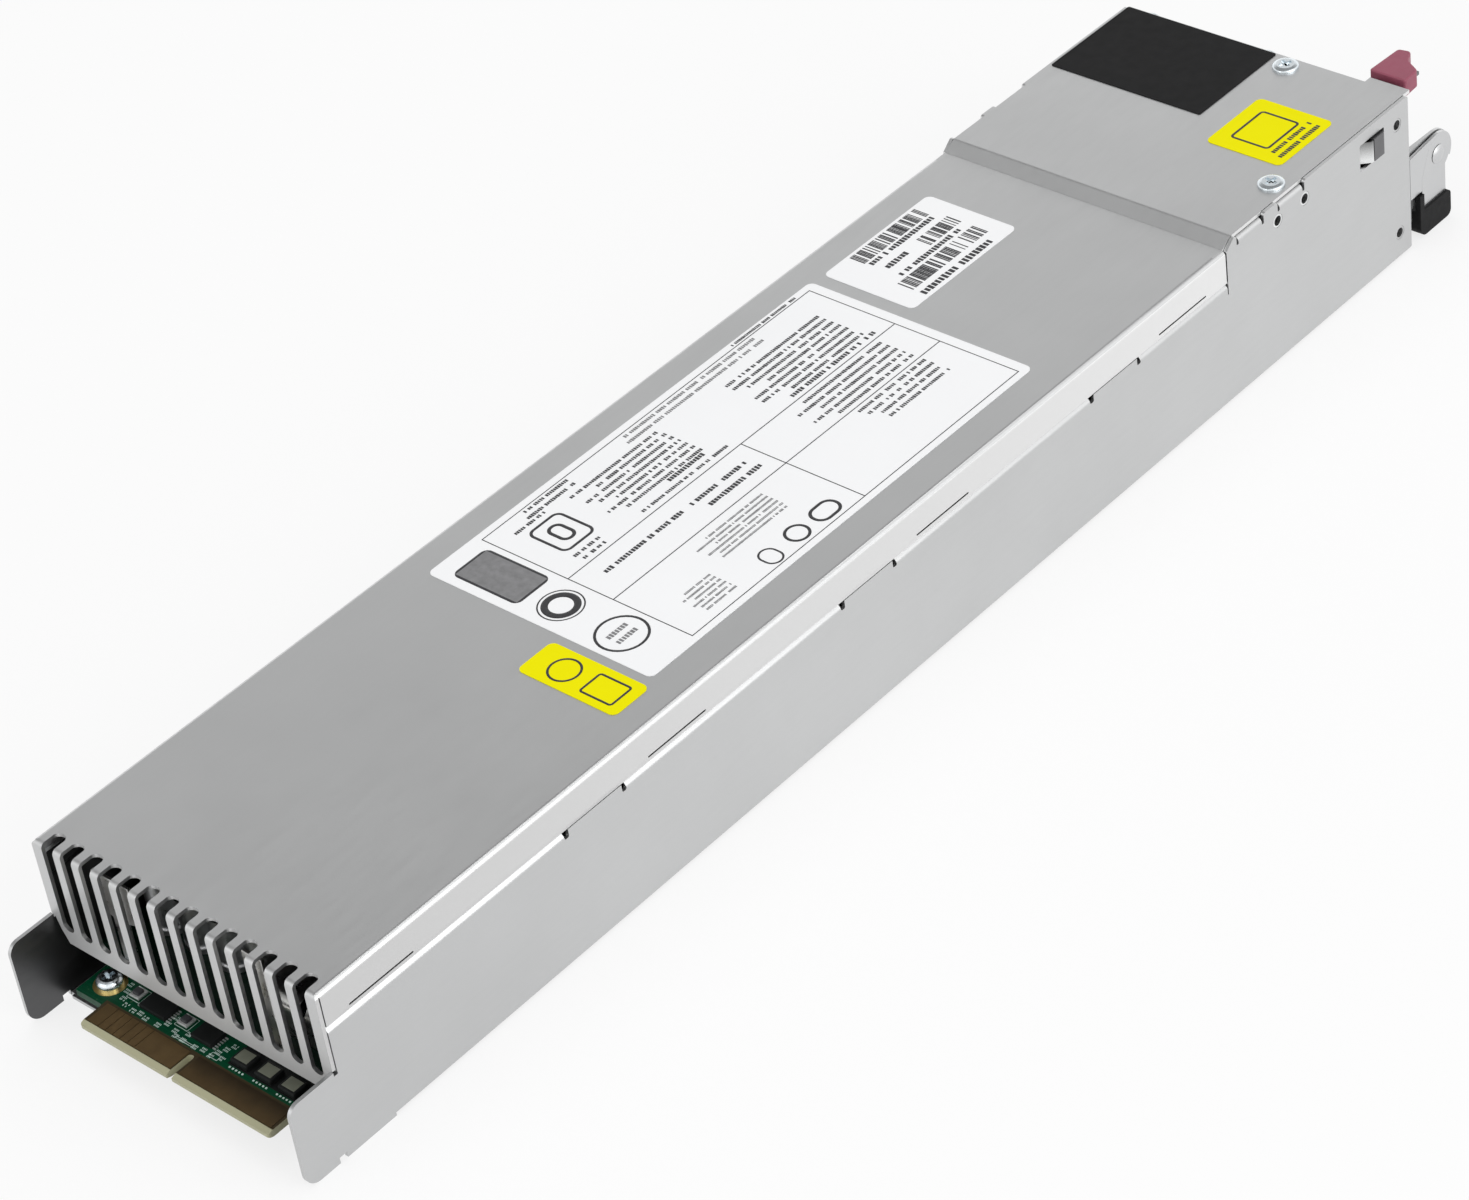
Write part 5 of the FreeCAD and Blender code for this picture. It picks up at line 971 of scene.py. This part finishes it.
def arc(radius, start, stop, step):
    """Points round the handle's pivot, from one angle to another in degrees."""
    turns = (math.radians(turn) for turn in range(start, stop, step))
    return [(PIVOT[0] + radius * math.cos(turn), PIVOT[1] + radius * math.sin(turn))
            for turn in turns]


def arm_outline():
    """One arm in y and z: a strap up from the grip, and an eye that leaves room for the rivet."""
    return ([(ARM_Y[0], ARM_Z[0]), (ARM_Y[0], ARM_Z[1])] + arc(EYE_R, 96, -31, -9)
            + arc(RIVET_ROOM_R, -28, 251, 20) + [(ARM_Y[1], ARM_Z[0])])


class SUPPLY_OT_handle_plates(bpy.types.Operator):
    """Wide arms on the folded pull handle"""

    bl_idname = "supply.handle_plates"
    bl_label = "Handle arms"

    def execute(self, context):
        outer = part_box("handle_bail")[1].x / MM
        meshes = [NODES["handle_bail"].data.copy()]
        for side in (-1.0, 1.0):
            arm = [(side * (outer - ARM_INSET), y, z) for y, z in arm_outline()]
            meshes.append(plate(arm, (side * ARM_T, 0.0, 0.0), 0.08, "handle_steel"))
        joined("handle_strip", meshes, "handle", ["handle_bail"])
        return {"FINISHED"}


class SUPPLY_OT_card_pads(bpy.types.Operator):
    """Contact pads on both faces of the card edge: narrow to the left and one wide to the right"""

    bl_idname = "supply.card_pads"
    bl_label = "Card pads"

    def execute(self, context):
        low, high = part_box("edge_contacts")
        first, last = low.x / MM, high.x / MM
        ends = [first, *(first + FIRST_PAD + PAD_PITCH * count for count in range(PAD_COUNT + 1)),
                NARROW_END]
        spans = [(ends[i] + PAD_GAP, ends[i + 1] - PAD_GAP) for i in range(len(ends) - 1)]
        pads = []
        for left, right in spans + [(WIDE_START, last)]:
            for bottom in (low.z / MM, high.z / MM - PAD_T):
                pads.append(slab((left, low.y / MM, bottom), (right, high.y / MM, bottom + PAD_T),
                                 0.02, "gold"))
        joined("card_pads", pads, "chassis", ["edge_contacts"])
        return {"FINISHED"}


def board_top():
    """Upper face of the main board, in millimetres."""
    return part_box("output_transistors")[0].z / MM - 0.1


def package(x, y, wide, long, low, high, soft, material):
    """A block on the main board, by its middle, its size and its lower and upper face over it."""
    top = board_top()
    return slab((x - wide / 2, y - long / 2, top + low), (x + wide / 2, y + long / 2, top + high),
                soft, material)


def rows(material, x, y, lines, bars, pitches, size, **extra):
    """A grid of small bars on the main board, by its middle and its sizes in millimetres."""
    values = {"Lines": lines, "Bars": bars, "Line Pitch": pitches[0] * MM,
              "Bar Pitch": pitches[1] * MM, "Bar Width": size[0] * MM,
              "Bar Length": size[1] * MM, "Depth": size[2] * MM, **extra}
    return grown("tile", values, material, Vector((x, y, board_top() + size[2] / 2)) * MM)


def outline(x, y, wide, long, rule):
    """A ruled rectangle on the main board, in millimetres."""
    values = {"Width": wide * MM, "Length": long * MM, "Corner": 0.1 * MM, "Rule": rule * MM,
              "Depth": MARK_T * MM}
    return grown("loop", values, "silk", Vector((x, y, board_top() + MARK_T)) * MM)


class SUPPLY_OT_board_parts(bpy.types.Operator):
    """Chips, coils and transistors behind the card edge, with their pins and marks"""

    bl_idname = "supply.board_parts"
    bl_label = "Board parts"

    def execute(self, context):
        chips = []
        for x, wide in CHIPS:
            chips.append(package(x, CHIP_Y, wide, 4.0, 0.1, 1.1, 0.12, "chip"))
            for side in (-1, 1):
                chips.append(rows("solder", x + side * (wide / 2 + 0.35), CHIP_Y, 1, 6, (1.0, 0.64),
                                  (0.8, 0.28, 0.22)))
        joined("logic_packages", chips, "chassis", ["logic_chips"])
        coils = []
        for x in COILS:
            coils.append(package(x, COIL_Y, 2.6, 2.6, 0.1, 0.6, 0.1, "solder"))
            coils.append(package(x, COIL_Y, 1.7, 1.7, 0.5, 1.3, 0.25, "ferrite"))
        joined("filter_coil_bodies", coils, "chassis", ["filter_coils"])
        packages = [package(18.55, -165.875, 19.3, 7.75, 0.02, 0.1, 0.02, "chip")]
        for x in TRANSISTORS:
            packages.append(package(x, TRANSISTOR_Y, 4.4, 3.8, 0.1, 1.42, 0.3, "chip"))
            packages.append(package(x, TRANSISTOR_Y + 0.05, 3.3, 2.7, 1.3, 1.47, 0.03, "lid"))
            packages.append(rows("silk", x, -170.25, 5, 1, (0.85, 1.0), (0.34, 0.36, 0.14)))
        joined("output_packages", packages, "chassis", ["output_transistors"])
        joined("board_marks", board_marks(), "chassis")
        joined("bus_straps", bus_straps(), "chassis")
        return {"FINISHED"}


def board_marks():
    """White marks and outlines round the parts, and the ring under the front screw."""
    made = [rows("silk", x, y, 4, 2, (0.34, 0.62), (0.16, 0.40, MARK_T), Kept=0.9,
                 Seed=MARK_SEED + count) for count, (x, y) in enumerate(MARKS)]
    made += [outline(*place, 0.12) for place in OUTLINES]
    return made + [disc((*FRONT_SCREW, board_top()), 3.4, 0.06, "bright_gold")]


def bus_straps():
    """Two tinned straps that stand on the main board behind the vent."""
    low = board_top() + 0.1
    left = [(-23.4, low), (-19.6, low), (-19.6, 23.4), (-16.4, 24.4), (-16.4, 33.6),
            (-26.6, 33.6), (-26.6, 24.4), (-23.4, 23.4)]
    right = [(14.2, low), (19.4, low), (19.4, 34.6), (14.2, 34.6)]
    return [plate([(x, STRAP_Y, z) for x, z in shape], (0.0, STRAP_T, 0.0), 0.12, "tinned_brass")
            for shape in (left, right)]


class SUPPLY_OT_windings(bpy.types.Operator):
    """Enamelled wire on the ring cores of the boost choke and the line choke"""

    bl_idname = "supply.windings"
    bl_label = "Windings"

    def execute(self, context):
        sizes = context.scene.supply_wire
        for name, core, winding in (("boost_turns", "boost_core", "boost_winding"),
                                    ("line_choke_turns", "line_choke_core", "line_choke_winding")):
            low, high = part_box(core)
            outer_low, outer_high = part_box(winding)
            middle = (low + high) / 2
            core_radius = (high.x - low.x) / 2
            wound_radius = (outer_high.y - outer_low.y) / 2
            height = outer_high.z - outer_low.z - sizes.wire
            inner_radius = core_radius - (wound_radius - core_radius) - BORE_REACH
            width = wound_radius - inner_radius - sizes.wire
            values = {"Turns": sizes.turns, "Ring Radius": (wound_radius + inner_radius) / 2,
                      "Turn Width": width, "Turn Height": height, "Wire": sizes.wire}
            halves = [grown("turn", values, "copper", middle, Matrix.Rotation(angle, 4, "Z"))
                      for angle in (0.0, math.pi)]
            joined(name, halves, "chassis", [winding])
        return {"FINISHED"}


class SUPPLY_OT_stage(bpy.types.Operator):
    """Floor, room, lamps and camera"""

    bl_idname = "supply.stage"
    bl_label = "Stage"

    def execute(self, context):
        studio = context.scene.supply_studio
        lay_floor(context)
        light_room(context, studio.sky)
        add_lamp(context, "Key", studio.key, 1.1, (1.15, 0.05, 0.55))
        add_lamp(context, "Fill", studio.fill, 0.9, (-0.25, -1.2, 0.75))
        add_lamp(context, "Top", studio.top, 1.2, (-0.35, 0.25, 1.5), mirrored=False)
        add_camera(context, studio)
        return {"FINISHED"}


def lay_floor(context):
    """A wide pale floor that keeps the shadow and reads as white where it is seen or mirrored."""
    mesh = bpy.data.meshes.new("studio_floor")
    shape = bmesh.new()
    bmesh.ops.create_grid(shape, x_segments=1, y_segments=1, size=FLOOR_HALF)
    shape.to_mesh(mesh)
    shape.free()
    floor = bpy.data.objects.new("studio_floor", mesh)
    context.scene.collection.objects.link(floor)
    made = bpy.data.materials.new("Studio floor")
    graph = emptied(made)
    cloud = graph.span(grain(graph, 3.0, 2.0), 0.3, 0.7, 0.0, 1.0)
    matt = graph.add("ShaderNodeBsdfDiffuse", {
        0: graph.blend(cloud, (0.88, 0.88, 0.88, 1.0), (0.90, 0.90, 0.90, 1.0))})
    white = graph.add("ShaderNodeEmission", {0: (1.0, 1.0, 1.0, 1.0), 1: 1.0})
    seen = graph.times(seen_directly(graph), FLOOR_WHITE)
    both = graph.add("ShaderNodeMixShader", {0: seen, 1: matt.outputs[0], 2: white.outputs[0]})
    graph.add("ShaderNodeOutputMaterial", {0: both.outputs[0]})
    mesh.materials.append(made)


def seen_directly(graph):
    """One where a ray comes from the camera, a reflection or a glass."""
    path = graph.add("ShaderNodeLightPath")
    rays = graph.math("ADD", path.outputs["Is Camera Ray"], path.outputs["Is Glossy Ray"])
    return graph.math("MINIMUM", graph.math("ADD", rays, path.outputs["Is Transmission Ray"]), 1.0)


def light_room(context, sky):
    """A white room: a soft level for matt surfaces. Metal sees a ceiling that darkens overhead, and
    a bright wall to the right, which shows as a white line along the bends."""
    world = bpy.data.worlds.new("Studio room")
    context.scene.world = world
    graph = emptied(world)
    way = graph.add("ShaderNodeTexCoord").outputs["Generated"]
    aim = graph.add("ShaderNodeSeparateXYZ", {0: way})
    ceiling = graph.span(aim.outputs[2], 0.44, 0.68, 1.22, 0.32)
    wall = graph.span(aim.outputs[0], 0.0, 0.35, 0.0, 1.25)
    seen = graph.math("MAXIMUM", ceiling, wall)
    level = graph.blend(seen_directly(graph), (sky, sky, sky, 1.0), graph.vector(seen, seen, seen))
    background = graph.add("ShaderNodeBackground", {0: level, 1: 1.0})
    graph.add("ShaderNodeOutputWorld", {0: background.outputs[0]})


def add_lamp(context, name, power, size, place, mirrored=True):
    """A square soft lamp that faces the middle of the case, and shows in metal if mirrored."""
    lamp = bpy.data.lights.new(name, "AREA")
    lamp.energy = power
    lamp.size = size
    holder = bpy.data.objects.new(name, lamp)
    holder.location = place
    back = Vector(place) - Vector((0.0, 0.0, 0.02))
    holder.rotation_euler = back.to_track_quat("Z", "Y").to_euler()
    holder.visible_glossy = mirrored
    context.scene.collection.objects.link(holder)


def add_camera(context, studio):
    """The camera at the photograph's viewing angle."""
    lens = bpy.data.cameras.new("Studio camera")
    lens.sensor_width = 36.0
    lens.lens = studio.lens
    lens.clip_start = 0.01
    camera = bpy.data.objects.new("Studio camera", lens)
    camera.location = studio.camera_place
    camera.rotation_euler = studio.camera_turn
    context.scene.collection.objects.link(camera)
    context.scene.camera = camera
    context.scene.view_settings.view_transform = "Standard"


class SUPPLY_PT_panel(bpy.types.Panel):
    """Lists the sizes, colours and pieces"""

    bl_idname = "SUPPLY_PT_panel"
    bl_label = "Power Supply"
    bl_space_type = "VIEW_3D"
    bl_region_type = "UI"
    bl_category = "Power Supply"

    def draw(self, context):
        for group in GROUPS:
            box = self.layout.box()
            box.label(text=group.__doc__)
            values = getattr(context.scene, GROUPS[group])
            for name in group.__annotations__:
                box.prop(values, name)
        for step in STEPS:
            self.layout.operator(step.bl_idname)


GROUPS = {SupplyColours: "supply_colours", SupplyPrint: "supply_print",
          SupplyFasteners: "supply_fasteners", SupplyWire: "supply_wire",
          SupplyStudio: "supply_studio"}
STEPS = (SUPPLY_OT_finishes, SUPPLY_OT_cover, SUPPLY_OT_screws, SUPPLY_OT_rating_print,
         SUPPLY_OT_serial_print, SUPPLY_OT_yellow_print, SUPPLY_OT_handle_plates,
         SUPPLY_OT_card_pads, SUPPLY_OT_board_parts, SUPPLY_OT_windings, SUPPLY_OT_stage)


def register():
    """Adds the classes and the scene's properties."""
    for group, name in GROUPS.items():
        bpy.utils.register_class(group)
        setattr(bpy.types.Scene, name, PointerProperty(type=group))
    for made in STEPS + (SUPPLY_PT_panel,):
        bpy.utils.register_class(made)


def unregister():
    """Takes the classes and the scene's properties away again."""
    for made in reversed(STEPS + (SUPPLY_PT_panel,)):
        bpy.utils.unregister_class(made)
    for group, name in GROUPS.items():
        delattr(bpy.types.Scene, name)
        bpy.utils.unregister_class(group)


def main():
    """Registers the classes and makes every piece in order."""
    register()
    bpy.ops.supply.finishes()
    bpy.ops.supply.cover()
    bpy.ops.supply.screws()
    bpy.ops.supply.rating_print()
    bpy.ops.supply.serial_print()
    bpy.ops.supply.yellow_print()
    bpy.ops.supply.handle_plates()
    bpy.ops.supply.card_pads()
    bpy.ops.supply.board_parts()
    bpy.ops.supply.windings()
    bpy.ops.supply.stage()


if __name__ == "__main__":
    main()
